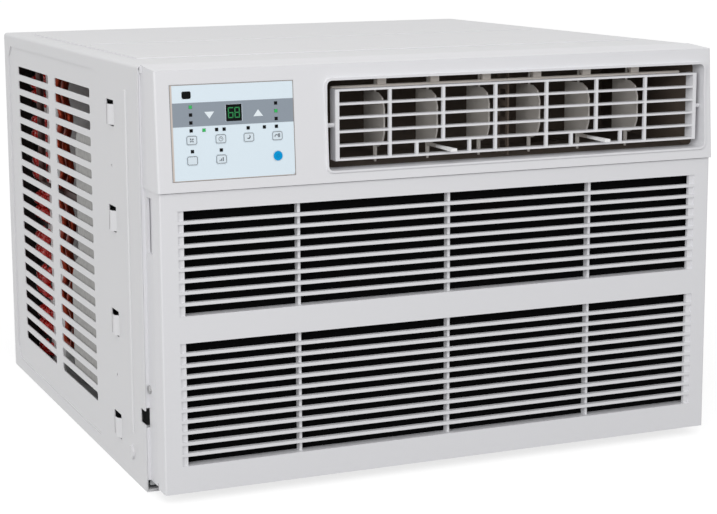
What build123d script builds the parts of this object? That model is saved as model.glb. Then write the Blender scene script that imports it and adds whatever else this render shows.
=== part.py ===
from build123d import *
import math
import os

# Window air conditioner with a slide-out chassis, in millimetres.
# X runs to the right of a person who faces the front, Y runs from front to back, Z is up.
# The origin is at the middle of the footprint, on the surface that the unit stands on.

# ---- cabinet: one folded steel wrap over a floor sheet ----
cabinet_width = 660.0
cabinet_height = 448.8        # to the plain part of the top sheet
cabinet_depth = 610.5
sheet = 1.2
bend_radius = 4.0
hem_width = 14.0
floor_flange_height = 10.0
floor_setback = 2.0           # floor sheet behind the cabinet's front and rear edges

# ---- depths, all from the intake grille's face ----
panel_to_cabinet = 50.0       # back to the cabinet's front edge
lever_reach = 14.6            # forward to the tips of the vane levers
overall_depth = lever_reach + panel_to_cabinet + cabinet_depth
face_y = lever_reach - overall_depth / 2
cabinet_front_y = face_y + panel_to_cabinet
cabinet_rear_y = cabinet_front_y + cabinet_depth
half_width = cabinet_width / 2
inner_half = half_width - sheet

# ---- pressed features of the cabinet ----
top_field_depth = 132.4       # front edge of the raised field on the top
top_field_length = 458.0
top_field_margin = 24.0
top_field_raise = 1.2
top_bead_depth = 360.0
top_bead_width = 5.0
top_bead_raise = 0.8
side_field_depth = 215.0      # front edge of the sunk field on each side
side_field_length = 424.0
side_field_foot_z = 15.0
side_field_head = 15.8        # from the top of the cabinet
side_field_sink = 1.4
side_field_corner = 14.0
slot_length = 159.0
slot_height = 10.4
slot_pitch = 18.33
slot_head = 39.3              # highest slot, from the top of the cabinet
slot_foot_z = 45.0            # no slot starts below this
slot_column_depths = (241.9, 432.4)
side_bead_depth = 95.4
side_bead_width = 6.5
side_bead_raise = 1.5
side_bead_slope = 1.05
side_bead_foot_z = 53.0
side_bead_head = 28.5
dimple_depth = 100.5
dimple_z = 30.0
dimple_radius = 8.0
dimple_raise = 2.2
dimple_sides = 10
hook_depth = 141.0            # root of the bent-out side-frame hooks
hook_length = 9.5
hook_window = 28.0
hook_height = 22.0
hook_stand = 4.5
hook_ramp = 4.0
hook_bend = 0.5               # inner skin bends this much later than the outer
hook_head_gap = 4.0           # window above the hook
hook_foot_gap = 2.0           # window below the hook
hook_head = 58.6              # middle of the highest hook, from the top of the cabinet
hook_foot_z = 45.9            # middle of the lowest hook
hook_count = 4
bracket_hole_depth = 152.6
bracket_hole_head = 114.5     # upper hole, from the top of the cabinet
bracket_hole_spacing = 231.1
bracket_hole_radius = 1.7
catch_notch_length = 16.0
catch_notch_height = 15.0
catch_notch_z = 80.5

# ---- chassis pan ----
pan_side_gap = 3.8            # inside the cabinet's side
pan_setback = 4.0
pan_rear_setback = 2.5
pan_wall = 1.2
pan_height = 24.0
pan_runner_height = 3.6
pan_runner_width = 24.0
pan_runner_offset = 200.0
pan_runner_end = 30.0

# ---- clearances ----
seat_gap = 0.3                # between pieces that rest or bolt against each other
pin_gap = 0.06                # radial, pin in bore
label_gap = 0.2               # round windows and keys in the control label
weld = 0.5                    # how far joined shapes of one piece run into each other
overcut = 1.0                 # how far a cutter runs past the skin that it opens

# ---- front panel ----
moulded_wall = 2.5
fascia_side_set = 3.4         # fascia's side inside the cabinet's side
fascia_foot_reach = 2.5       # foot of the fascia ahead of the grille's face
fascia_top_set = 5.6          # its top edge behind the grille's face
fascia_top_drop = 2.8         # its top edge below the cabinet's top
fascia_height = 122.3
seam_rise = 0.6               # fascia's top above the cabinet's where they meet
split_gap = 0.8               # between the fascia and the intake grille
frame_band = 24.0             # width of the lower frame's strips
frame_foot_z = 13.0
frame_foot_band = 22.0
frame_top_band = 22.4
frame_top_overlap = 0.2       # into the fascia
lip_length = 10.0             # part of the panel inside the cabinet
lip_thickness = 3.0
lip_overlap = 8.0             # root of the lips inside the panel
lip_notch_gap = 3.0           # lips stop this far either side of the catch notch
finger_drop = 8.7             # top of the finger recess below the fascia
finger_height = 58.0
finger_sink = 3.5
finger_length = 18.0

# ---- outlet opening, rim and tunnel ----
outlet_label_gap = 36.6       # from the control label to the outlet
outlet_side_margin = 10.6     # from the outlet to the fascia's right edge
outlet_foot_margin = 12.2     # from the fascia's foot
outlet_head_margin = 16.8     # from the fascia's top edge
outlet_corner = 5.0
corner_flats = 3
rim_width = 3.0
rim_raise = 1.4
rim_slope = 0.84
tunnel_start = 1.0            # inside the fascia's wall
tunnel_depth = 24.0
ladder_front = 36.0           # rib in the middle of the duct, pierced like a ladder
ladder_length = 26.0
ladder_thickness = 2.0
ladder_rail = 5.0
ladder_bar = 6.0
ladder_rungs = 5

# ---- tilting louver frame ----
louver_left_gap = 11.0        # to the outlet's left wall
louver_right_gap = 6.75
louver_foot_gap = 8.8
louver_head_gap = 9.9
louver_set = 6.0              # its front behind the grille's face
louver_depth = 10.0
louver_bar = 2.2
louver_rows = 5
louver_side = 4.5
louver_side_depth = 14.0
louver_post = 3.2
louver_post_depth = 3.5
louver_pin_radius = 2.5
louver_pin_bite = 2.4         # into the tunnel's wall

# ---- turning vanes ----
vane_count = 6
first_post_gap = 62.5         # from the louver frame's left end to its first post
last_post_gap = 66.25
vane_offset = 2.0             # vanes stand this far right of the louver posts
vane_thickness = 1.8
vane_front = 26.0             # depth of the vane's front edge
vane_chord = 52.0
vane_pivot_depth = 50.0
vane_crank_depth = 70.0
vane_corner = 16.0
vane_corner_ease = 4.8        # the corner's middle point, in from both edges
vane_foot_gap = 16.6          # below the vane, to the duct's floor
vane_head_gap = 18.7
vane_boss_radius = 2.4
vane_boss_height = 10.0
vane_pin_radius = 1.5
pin_sides = 6                 # flats of the small turning pins and their bores
lead_vanes = (1, 4)
lever_width = 7.0
lever_neck = 4.0
lever_thickness = 3.0
lever_drop = 2.4              # its foot below the vane's foot
link_width = 6.0
link_thickness = 3.0
link_lift = 1.0
link_overhang = 6.0

# ---- intake grille ----
grille_side_set = 5.0         # inside the cabinet's side
grille_foot_z = 10.3
grille_depth = 27.0
grille_field_margin = 19.0    # slatted field to the grille's side
grille_field_foot = 28.6      # slatted field above the grille's foot
grille_field_head = 18.4      # and below the grille's top
grille_upper_height = 108.2   # upper slatted opening
grille_band_height = 28.3     # plain band between the openings
grille_wall_depth = 14.0
slat_thickness = 3.4
slat_depth = 6.0
upper_gap_count = 9
lower_gap_count = 11
rib_spacing = 173.0
rib_width = 3.0
hinge_depth = 9.0
hinge_z = 14.5
hinge_inset = 75.0            # from the grille's side
hinge_arm_width = 5.0
hinge_arm_radius = 3.0
hinge_arm_notch = 2.0         # arm is this much shallower than its eye
hinge_pin_radius = 1.5
hinge_cheek = 3.0
hinge_relief = 24.0           # grille's floor stops here so that it clears the panel
hinge_relief_rise = 2.0       # relief above the hinge's axis
grille_corner = 2.0

# ---- air filter ----
filter_frame = 8.0
filter_thickness = 3.0
filter_mesh = 0.8
filter_margin = 3.0
filter_columns = 4

# ---- control label, keys and board ----
label_inset = 81.9            # label's middle from the fascia's left edge
label_mid_up = 59.3           # along the fascia, from its foot
label_width = 132.2
label_height = 97.0
label_thickness = 1.2
label_ledge = 6.0
label_corner_cut = 3.0
key_width = 11.4
key_height = 9.5
key_corner = 1.5
key_raise = 0.3
key_flange = 1.0
key_flange_thickness = 1.2
key_stem = 3.0
key_travel = 0.5
key_stem_length = 4.8
arrow_width = 10.5
arrow_height = 6.9
power_radius = 5.4
power_sides = 12
key_columns = (-44.6, -13.8, 16.3, 47.2)
key_row_upper = -7.4
key_row_lower = -27.9
arrow_row = 17.1
arrow_columns = (-25.1, 27.2)
display_size = 16.8
display_side_step = 2.0       # body behind the window, narrower on each side
display_end_step = 1.0
window_depth = 1.0            # windows stand this far behind the label
display_place = (1.2, 18.3)
receiver_width = 9.4
receiver_height = 7.3
receiver_corner = 1.4
receiver_body_width = 5.0
receiver_body_height = 4.0
receiver_place = (-48.6, 38.0)
lamp_size = 3.4
lamp_raise = 0.3
lamp_pitch = 7.9
lamp_row = 2.3
lamp_row_columns = (-31.3, -17.9, -9.9, 15.9, 33.4)
lamp_end_columns = (-44.8, 46.5)
lamp_column_count = 4
lamp_lower = ((-44.3, -18.6), (-13.7, -18.6))
board_thickness = 1.6
board_margin = 6.0
box_wall = 2.0
box_depth = 34.0
board_gap = 1.0               # board inside the label's ledge
post_size = 6.0
post_inset = 8.0              # posts inside the label's ledge

# ---- fan axis, shared by the blower, motor and condenser fan ----
fan_x = 60.0
fan_drop = 19.1               # below the middle of the space inside
shaft_radius = 6.0

# ---- blower and its volute ----
volute_front = 122.0
volute_depth = 100.0
volute_wall = 2.5
volute_start = 118.0
volute_growth = 34.0
volute_steps = 15
volute_first_angle = 135.0    # where the spiral starts, at the cut-off
volute_sweep = 225.0
volute_inlet = 88.0
volute_neck_left = -30.0
wheel_radius = 105.0
wheel_front = 128.0
wheel_length = 84.0
wheel_blades = 12
wheel_blade_span = 20.0
wheel_blade_thickness = 1.6
wheel_blade_lean = 35.0
wheel_ring = 4.0
wheel_blade_length = 17.0
hub_radius = 14.0
hub_length = 30.0
shaft_sides = 12

# ---- bulkhead and motor ----
bulkhead_thickness = 1.5
bulkhead_top_gap = 6.6        # below the cabinet's top sheet
bulkhead_hole = 30.0
motor_front = 240.0
motor_length = 118.0
motor_radius = 68.0
motor_sides = 16
motor_boss = 20.0
motor_boss_length = 10.0
shaft_front = 150.0
shaft_rear = 494.0
bracket_thickness = 3.0
bracket_base_length = 130.0
bracket_foot_width = 170.0
bracket_head_width = 148.0
bracket_set = 6.0             # base plate ahead of the motor's drum
saddle_set = 10.0             # saddles inside the drum's ends
saddle_root = 1.0             # saddles start inside the base plate

# ---- condenser fan and shroud ----
fan_front = 462.0
fan_hub_length = 28.0
fan_hub_radius = 34.0
fan_blades = 5
blade_root_half = 16.0        # blade's half width at the hub
blade_nose = 44.0             # leading edge, ahead of the blade's middle line
blade_nose_inset = 30.0       # where the nose stands, in from the ring
blade_tip_front = 34.0
blade_tip_rear = 30.0
blade_root_sink = 4.0         # blade's root inside the hub
fan_tip_gap = 6.0             # fan's ring to the shroud's collar
fan_pitch = 28.0
fan_blade_thickness = 2.5
fan_ring_width = 12.0
fan_ring_thickness = 4.0
fan_ring_front = 470.0
round_sides = 20              # flats that stand in for large rolled rings
shroud_front = 500.0
shroud_wall = 1.5
shroud_side_gap = 28.8        # inside the cabinet's side
shroud_land = 25.9            # above and below the fan opening
shroud_collar = 34.0
shroud_seat = 2.0             # rear edge ahead of the condenser's fins

# ---- coils ----
tube_radius = 4.8
tube_sides = 4
tube_bend_steps = 2
tube_stub = 4.0
end_plate = 1.5
plate_reach = 2.0             # end plates beyond the fins
evaporator_plate_set = 6.0    # evaporator's flange ahead of its fins
condenser_plate_rise = 3.0
evaporator_front = 66.0
evaporator_thickness = 46.0
evaporator_side_gap = 42.8    # inside the cabinet's side
evaporator_foot_z = 36.0
evaporator_drop = 9.7         # its top below the fascia's foot
evaporator_tubes = 6
evaporator_tube_margin = 29.0
evaporator_flange = 26.0
condenser_thickness = 88.0
condenser_rear_gap = 10.5     # inside the cabinet's rear edge
condenser_side_gap = 32.8     # inside the cabinet's side
condenser_foot_z = 12.0
condenser_head_gap = 9.6      # below the cabinet's top sheet
condenser_tubes = 16
condenser_tube_margin = 22.5  # end tubes from the fins' foot and top
condenser_rows = (16.0, 44.0)
condenser_flange = 25.0
fin_groove_pitch = 52.0
fin_groove_width = 3.0
fin_groove_depth = 5.0
tray_wall = 3.0
tray_side_gap = 12.8          # inside the cabinet's side
tray_front = 56.0
tray_length = 64.0
tray_height = 21.0

# ---- compressor and pipes ----
compressor_inset = 123.8      # its middle from the cabinet's side
compressor_depth = 350.0
compressor_radius = 66.0
compressor_height = 196.0
compressor_shoulder = 22.0
grommet_radius = 12.0
grommet_height = 22.0
grommet_circle = 78.0
grommet_sides = 8
foot_plate = 3.0
accumulator_radius = 27.0
accumulator_height = 150.0
accumulator_shoulder = 14.0
accumulator_gap = 10.0
accumulator_lift = 20.0
strap_width = 16.0
strap_height = 14.0
suction_radius = 7.0
suction_rise = 90.0           # above the accumulator
suction_jog = 30.0            # sideways before it runs forward
suction_bend = 12.0
pipe_lane = 10.5              # pipe beside the condenser, out from the end plate
outer_lane = 21.0
lane_lift = 15.0
discharge_radius = 4.8
discharge_set = 20.0          # beside the middle of the compressor's crown
discharge_bend = 5.0
loop_front = 425.0            # first leg of the loop that takes up shaking
loop_length = 35.0            # to its second leg
loop_foot_z = 70.0
liquid_radius = 4.8
liquid_bend = 6.0
liquid_drop = 150.0           # filter drier below the highest tube
liquid_setback = 45.0         # its upright run in front of the condenser
capillary_radius = 3.0
capillary_run = 30.0
capillary_rise = 60.0
capillary_bend = 8.0
pipe_sides = 6
drier_radius = 12.0
drier_length = 90.0
drier_setback = 25.0          # its rear end in front of the discharge loop

# ---- small parts ----
capacitor_radius = 22.0
capacitor_height = 80.0
capacitor_inset = 123.5       # from the bulkhead's left edge
capacitor_drop = 11.0         # below the bulkhead's top
capacitor_sides = 12
screw_radius = 2.0
screw_head_radius = 4.5
screw_head_height = 2.4
screw_length = 37.0
screw_sides = 6
panel_screw_out = 21.0        # out from the evaporator's side
panel_screw_foot_z = 70.0
panel_screw_drop = 38.7       # upper pair below the fascia
side_screw_depth = 45.0
side_screw_z = 112.0
side_screw_length = 12.0
brace_width = 40.0
brace_thickness = 1.5

# ---- places worked out from the sizes above ----
underside = cabinet_height - sheet
side_field_top_z = cabinet_height - side_field_head
slot_top_z = cabinet_height - slot_head
slot_rows = int((slot_top_z - slot_foot_z) // slot_pitch) + 1
side_bead_top_z = cabinet_height - side_bead_head
hook_top_z = cabinet_height - hook_head
hook_pitch = (hook_top_z - hook_foot_z) / (hook_count - 1)
bracket_hole_top_z = cabinet_height - bracket_hole_head
floor_top = 2 * sheet
pan_width = 2 * (inner_half - pan_side_gap)
pan_floor_z = floor_top + pan_runner_height + pan_wall

fascia_width = cabinet_width - 2 * fascia_side_set
fascia_top_z = cabinet_height - fascia_top_drop
fascia_foot_z = fascia_top_z - fascia_height
seam_top_z = cabinet_height + seam_rise
grille_width = cabinet_width - 2 * grille_side_set
grille_top_z = fascia_foot_z - split_gap
finger_foot_z = fascia_foot_z - finger_drop - finger_height
label_mid_x = label_inset - fascia_width / 2
outlet_left = label_mid_x + label_width / 2 + outlet_label_gap
outlet_right = fascia_width / 2 - outlet_side_margin
outlet_width = outlet_right - outlet_left
outlet_mid_x = (outlet_left + outlet_right) / 2
outlet_foot_z = fascia_foot_z + outlet_foot_margin
outlet_top_z = fascia_top_z - outlet_head_margin
outlet_height = outlet_top_z - outlet_foot_z
outlet_mid_z = (outlet_foot_z + outlet_top_z) / 2
louver_left = outlet_left + louver_left_gap
louver_width = outlet_width - louver_left_gap - louver_right_gap
louver_foot_z = outlet_foot_z + louver_foot_gap
louver_height = outlet_height - louver_foot_gap - louver_head_gap
louver_mid_z = louver_foot_z + louver_height / 2
louver_axis_depth = louver_set + louver_depth / 2
vane_pitch = (louver_width - first_post_gap - last_post_gap) / (vane_count - 1)
vane_foot_z = outlet_foot_z + vane_foot_gap
vane_head_z = outlet_top_z - vane_head_gap

grille_field_width = grille_width - 2 * grille_field_margin
grille_field_foot_z = grille_foot_z + grille_field_foot
grille_field_top_z = grille_top_z - grille_field_head
grille_band_top_z = grille_field_top_z - grille_upper_height
grille_band_foot_z = grille_band_top_z - grille_band_height
hinge_offset = grille_width / 2 - hinge_inset

bulkhead_half = pan_width / 2 - pan_wall - seat_gap
bulkhead_top_z = underside - bulkhead_top_gap
shroud_top_z = bulkhead_top_z
shroud_half = inner_half - shroud_side_gap
shroud_hole = (shroud_top_z - pan_floor_z) / 2 - shroud_land
fan_radius = shroud_hole - fan_tip_gap - fan_ring_thickness
fan_z = (shroud_top_z + pan_floor_z) / 2 - fan_drop
evaporator_half = inner_half - evaporator_side_gap
evaporator_height = fascia_foot_z - evaporator_drop - evaporator_foot_z
evaporator_pitch = (evaporator_height - 2 * evaporator_tube_margin) / (evaporator_tubes - 1)
condenser_half = inner_half - condenser_side_gap
condenser_height = underside - condenser_head_gap - condenser_foot_z
condenser_pitch = (condenser_height - 2 * condenser_tube_margin) / (condenser_tubes - 1)
tray_half = inner_half - tray_side_gap
compressor_x = compressor_inset - inner_half
capacitor_x = capacitor_inset - bulkhead_half
capacitor_z = bulkhead_top_z - capacitor_drop - capacitor_height
condenser_front = panel_to_cabinet + cabinet_depth - condenser_rear_gap - condenser_thickness
drier_rear = loop_front - drier_setback
panel_screw_x = evaporator_half + panel_screw_out
panel_screw_heights = (panel_screw_foot_z, fascia_foot_z - panel_screw_drop)
lean = math.atan2(fascia_foot_reach + fascia_top_set, fascia_top_z - fascia_foot_z)
fascia_plane = Plane(
    origin=(0, face_y - fascia_foot_reach, fascia_foot_z),
    x_dir=(1, 0, 0),
    z_dir=(0, -math.cos(lean), math.sin(lean)),
)
key_back = label_thickness + seat_gap + key_flange_thickness + key_stem_length
board_face = key_back + key_travel + seat_gap
bulkhead_front = volute_front + volute_depth + seat_gap


def back(depth):
    """Y of a place this far behind the intake grille's face."""
    return face_y + depth


def block(x0, x1, y0, y1, z0, z1):
    """Solid block between two corners."""
    middle = Pos((x0 + x1) / 2, (y0 + y1) / 2, (z0 + z1) / 2)
    return middle * Box(abs(x1 - x0), abs(y1 - y0), abs(z1 - z0))


def along_x(profile, x0, length):
    """Profile drawn in Y and Z, extruded to the right."""
    return extrude(Plane.YZ.offset(x0) * profile, amount=length)


def along_y(profile, y0, length):
    """Profile drawn in X and Z, extruded to the back."""
    return extrude(Pos(0, y0, 0) * (Plane.XZ * profile), amount=length, dir=(0, 1, 0))


def along_z(profile, z0, length):
    """Profile drawn in X and Y, extruded upwards."""
    return extrude(Pos(0, 0, z0) * profile, amount=length)


def outline(*points):
    """Closed face through the given corners."""
    return make_face(Polyline(*points, close=True))


def flats(radius, sides):
    """Many-sided round whose corners lie on the radius."""
    return RegularPolygon(radius, sides)


def bore_flats(radius, sides):
    """Bore whose flats keep the pin clearance from a pin of this radius."""
    return flats((radius + pin_gap) / math.cos(math.pi / sides), sides)


def cut_corners(width, height, corner):
    """Rectangle about the origin with its four corners cut at 45 degrees."""
    u = width / 2
    v = height / 2
    c = corner
    return outline(
        (-u + c, -v), (u - c, -v), (u, -v + c), (u, v - c),
        (u - c, v), (-u + c, v), (-u, v - c), (-u, -v + c),
    )


def eased(width, height, corner):
    """Rectangle about the origin whose corners are rounded by a few short flats."""
    u = width / 2 - corner
    v = height / 2 - corner
    points = []
    for number, (sx, sy) in enumerate(((1, 1), (-1, 1), (-1, -1), (1, -1))):
        for step in range(corner_flats + 1):
            angle = math.radians(90 * (number + step / corner_flats))
            points.append((sx * u + corner * math.cos(angle), sy * v + corner * math.sin(angle)))
    return outline(*points)


def on_fascia(x, up, depth, sketch, thickness):
    """Sketch laid on the fascia's leaning face, this deep behind it, extruded backwards."""
    placed = fascia_plane * (Pos(x, up, -depth) * sketch)
    return extrude(placed, amount=-thickness)


# ------------------------------------------------------------------ cabinet
def wrap_blank():
    """Folded sheet: a top and two sides with rolled upper edges and inward hems."""
    outer = Pos(0, cabinet_height / 2) * Rectangle(cabinet_width, cabinet_height)
    outer = fillet(outer.vertices().group_by(Axis.Y)[-1], bend_radius)
    inner_height = cabinet_height - sheet
    inner = Pos(0, inner_height / 2) * Rectangle(2 * inner_half, inner_height)
    inner = fillet(inner.vertices().group_by(Axis.Y)[-1], bend_radius - sheet)
    wrap = along_y(outer - inner, cabinet_front_y, cabinet_depth)
    for side in (-1, 1):
        wrap += block(side * half_width, side * (half_width - hem_width),
                      cabinet_front_y, cabinet_rear_y, 0, sheet)
    return wrap


def top_pressings():
    """Raised field and cross bead of the top, and the hollow under the field."""
    field_half = half_width - top_field_margin
    front = back(top_field_depth)
    rear = front + top_field_length
    field = block(-field_half, field_half, front, rear, cabinet_height - weld,
                  cabinet_height + top_field_raise)
    hollow = block(-field_half + sheet, field_half - sheet, front + sheet, rear - sheet,
                   underside - overcut, underside + top_field_raise)
    bead_half = field_half - top_field_margin / 2
    bead_y = back(top_bead_depth)
    bead = block(-bead_half, bead_half, bead_y - top_bead_width / 2, bead_y + top_bead_width / 2,
                 cabinet_height, cabinet_height + top_field_raise + top_bead_raise)
    return field + bead, hollow


def side_field(side):
    """Sunk field of one side: the sheet left behind it, and the hollow in front."""
    length = side_field_length
    height = side_field_top_z - side_field_foot_z
    middle_y = back(side_field_depth) + length / 2
    middle_z = side_field_foot_z + height / 2
    hollow = Pos(middle_y, middle_z) * cut_corners(length, height, side_field_corner)
    pad = Pos(middle_y, middle_z) * cut_corners(length + 2 * sheet, height + 2 * sheet,
                                                side_field_corner)
    pad_x = inner_half - side_field_sink if side > 0 else -inner_half - weld
    hollow_x = half_width - side_field_sink if side > 0 else -half_width - overcut
    return (along_x(pad, pad_x, side_field_sink + weld),
            along_x(hollow, hollow_x, side_field_sink + overcut))


def louvre_slots():
    """All the side slots, each cut through both sides at once."""
    cutters = []
    for depth in slot_column_depths:
        for row in range(slot_rows):
            middle_y = back(depth) + slot_length / 2
            middle_z = slot_top_z - slot_height / 2 - row * slot_pitch
            slot = Pos(middle_y, middle_z) * Rectangle(slot_length, slot_height)
            cutters.append(along_x(slot, -half_width - overcut, cabinet_width + 2 * overcut))
    return cutters


def hook(side, middle_z):
    """One bent-out hook for the side frame, and the window that it is cut from."""
    root = back(hook_depth)
    inner = side * inner_half
    outer = side * half_width
    stand = side * (half_width + hook_stand)
    stand_inner = stand - side * sheet
    profile = outline(
        (inner, root - sheet), (outer, root - sheet), (stand, root + hook_ramp),
        (stand, root + hook_length), (stand_inner, root + hook_length),
        (stand_inner, root + hook_ramp + hook_bend), (inner, root),
    )
    tab = along_z(profile, middle_z - hook_height / 2, hook_height)
    window = block(side * (inner_half - overcut), side * (half_width + overcut), root, root + hook_window,
                   middle_z - hook_height / 2 - hook_foot_gap,
                   middle_z + hook_height / 2 + hook_head_gap)
    return tab, window


def side_marks(side):
    """Vertical bead and round dimple pressed out of one side."""
    bead_y = back(side_bead_depth)
    outer = side * half_width
    bead = block(outer - side * weld, outer + side * side_bead_raise,
                 bead_y - side_bead_width / 2, bead_y + side_bead_width / 2,
                 side_bead_foot_z, side_bead_top_z)
    bead = chamfer(bead.faces().sort_by(Axis.X)[-1 if side > 0 else 0].edges(),
                   side_bead_slope)
    dimple = Pos(outer + side * dimple_raise / 2, back(dimple_depth), dimple_z) * (
        Rot(0, side * 90, 0) * extrude(flats(dimple_radius, dimple_sides), amount=dimple_raise / 2,
                                       both=True))
    return bead + dimple


def cabinet_shell():
    wrap = wrap_blank()
    raised, hollow = top_pressings()
    wrap = wrap + raised - hollow
    for side in (-1, 1):
        pad, sunk = side_field(side)
        wrap = wrap + pad - sunk + side_marks(side)
        for number in range(hook_count):
            tab, window = hook(side, hook_top_z - number * hook_pitch)
            wrap = wrap - window + tab
    cutters = louvre_slots()
    for drop in (0, bracket_hole_spacing):
        hole = Pos(back(bracket_hole_depth), bracket_hole_top_z - drop) * Circle(
            bracket_hole_radius)
        cutters.append(along_x(hole, -half_width - overcut, cabinet_width + 2 * overcut))
    cutters.append(block(-half_width - overcut, half_width + overcut, cabinet_front_y - overcut,
                         cabinet_front_y + catch_notch_length,
                         catch_notch_z - catch_notch_height / 2,
                         catch_notch_z + catch_notch_height / 2))
    return wrap - cutters


def cabinet_floor():
    """Flat floor on the hems, with a flange up each side of the wrap."""
    front = cabinet_front_y + floor_setback
    rear = cabinet_rear_y - floor_setback
    floor = block(-inner_half, inner_half, front, rear, sheet, floor_top)
    for side in (-1, 1):
        floor += block(side * inner_half, side * (inner_half - sheet), front, rear,
                       sheet, floor_top + floor_flange_height)
    return floor


def base_pan():
    """Open tray on two runners that carries the whole chassis."""
    half = pan_width / 2
    front = cabinet_front_y + pan_setback
    rear = cabinet_rear_y - pan_rear_setback
    foot = floor_top + pan_runner_height
    pan = block(-half, half, front, rear, foot, foot + pan_height)
    pan -= block(-half + pan_wall, half - pan_wall, front + pan_wall, rear - pan_wall,
                 foot + pan_wall, foot + pan_height + overcut)
    for side in (-1, 1):
        middle = side * pan_runner_offset
        pan += block(middle - pan_runner_width / 2, middle + pan_runner_width / 2,
                     front + pan_runner_end, rear - pan_runner_end, floor_top, foot + weld)
    return pan


# ------------------------------------------------------------------ front panel
def fascia_profile(inset):
    """Side view of the fascia, drawn this far inside its outer skin."""
    foot = fascia_foot_z + inset
    open_end = panel_to_cabinet + lip_length
    seam = seam_top_z - inset
    points = [
        (back(-fascia_foot_reach + inset), foot),
        (back(fascia_top_set + inset), fascia_top_z - inset),
        (back(panel_to_cabinet), seam),
    ]
    if inset:
        points += [(back(open_end), seam), (back(open_end), foot)]
    else:
        points += [(back(panel_to_cabinet), foot)]
    return outline(*points)


def fascia():
    """Upper part of the front panel: leaning face, sloped top and two sides."""
    half = fascia_width / 2
    shell = along_x(fascia_profile(0), -half, fascia_width)
    upright = shell.edges().filter_by(
        lambda e: abs(e.center().X) > half - weld and e.center().Y < back(fascia_top_set))
    shell = fillet(upright, moulded_wall)
    return shell - along_x(fascia_profile(moulded_wall), -half + moulded_wall,
                           fascia_width - 2 * moulded_wall)


def lower_frame():
    """Channel-section frame round the coil opening, behind the intake grille."""
    half = grille_width / 2
    front = back(grille_depth + seat_gap)
    rear = cabinet_front_y
    foot = frame_foot_z
    top = fascia_foot_z + frame_top_overlap
    frame = block(-half, half, front, rear, foot, top)
    frame -= block(-half + frame_band, half - frame_band, front - overcut, rear + overcut,
                   foot + frame_foot_band, top - frame_top_band)
    w = moulded_wall
    channel = block(-half + w, half - w, front + w, rear + overcut, foot + w, fascia_foot_z)
    channel -= block(-half + frame_band - w, half - frame_band + w, front, rear + 2 * overcut,
                     foot + frame_foot_band - w, top - frame_top_band + w)
    for side in (-1, 1):
        channel -= block(side * half, side * (half - finger_sink - w), front - overcut,
                         front + finger_length + w, finger_foot_z - w,
                         finger_foot_z + finger_height + w)
    frame -= channel
    for side in (-1, 1):
        frame -= block(side * (half + overcut), side * (half - finger_sink), front - overcut,
                       front + finger_length, finger_foot_z, finger_foot_z + finger_height)
    return frame


def panel_lips():
    """Tongues of the front panel that slip inside the cabinet's front edge."""
    outer = inner_half - seat_gap
    front = cabinet_front_y
    lips = block(-outer + lip_thickness * 2, outer - lip_thickness * 2, front - lip_overlap,
                 front + lip_length, underside - seat_gap - lip_thickness, underside - seat_gap)
    notch = catch_notch_height / 2 + lip_notch_gap
    over_pan = floor_top + pan_runner_height + pan_height + seat_gap
    spans = (
        (frame_foot_z, over_pan, pan_setback - seat_gap),
        (over_pan, catch_notch_z - notch, lip_length),
        (catch_notch_z + notch, underside - bend_radius, lip_length),
    )
    for side in (-1, 1):
        wall = grille_width / 2
        for foot, top, reach in spans:
            lips += block(side * (wall - moulded_wall), side * wall, front - lip_overlap,
                          front + reach, foot, top)
            lips += block(side * (wall - moulded_wall), side * outer, front + seat_gap,
                          front + reach, foot, top)
    return lips


def hinge_arms():
    """Two arms that carry the intake grille's hinge pins."""
    arms = None
    for side in (-1, 1):
        middle = side * hinge_offset
        x0 = middle - hinge_arm_width / 2
        x1 = middle + hinge_arm_width / 2
        y0 = back(hinge_depth)
        arm = block(x0, x1, y0, back(grille_depth + seat_gap + weld),
                    hinge_z - hinge_arm_radius + hinge_arm_notch, hinge_z + hinge_arm_radius)
        eye = Pos(y0, hinge_z)
        arm += along_x(eye * flats(hinge_arm_radius, pin_sides), x0, hinge_arm_width)
        arm -= along_x(eye * bore_flats(hinge_pin_radius, pin_sides), x0 - overcut,
                       hinge_arm_width + 2 * overcut)
        arms = arm if arms is None else arms + arm
    return arms


def outlet_profile(grow, corner):
    """Rounded outlet outline in X and Z, grown outwards by a wall."""
    return Pos(outlet_mid_x, outlet_mid_z) * eased(
        outlet_width + 2 * grow, outlet_height + 2 * grow, corner + grow)


def outlet_rim():
    """Raised rim round the outlet, on the leaning face."""
    up = (outlet_mid_z - fascia_foot_z) / math.cos(lean)
    rim = fascia_plane * (Pos(outlet_mid_x, up, -weld) * eased(
        outlet_width + 2 * rim_width, outlet_height + 2 * rim_width, outlet_corner + rim_width))
    rim = extrude(rim, amount=weld + rim_raise)
    outward = Axis(fascia_plane.origin, fascia_plane.z_dir)
    return chamfer(rim.faces().sort_by(outward)[-1].edges(), rim_slope)


def outlet_tunnel():
    """Short tunnel behind the outlet that carries the louver frame's pins."""
    return along_y(outlet_profile(moulded_wall, outlet_corner), back(tunnel_start),
                   tunnel_depth - tunnel_start)


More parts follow.
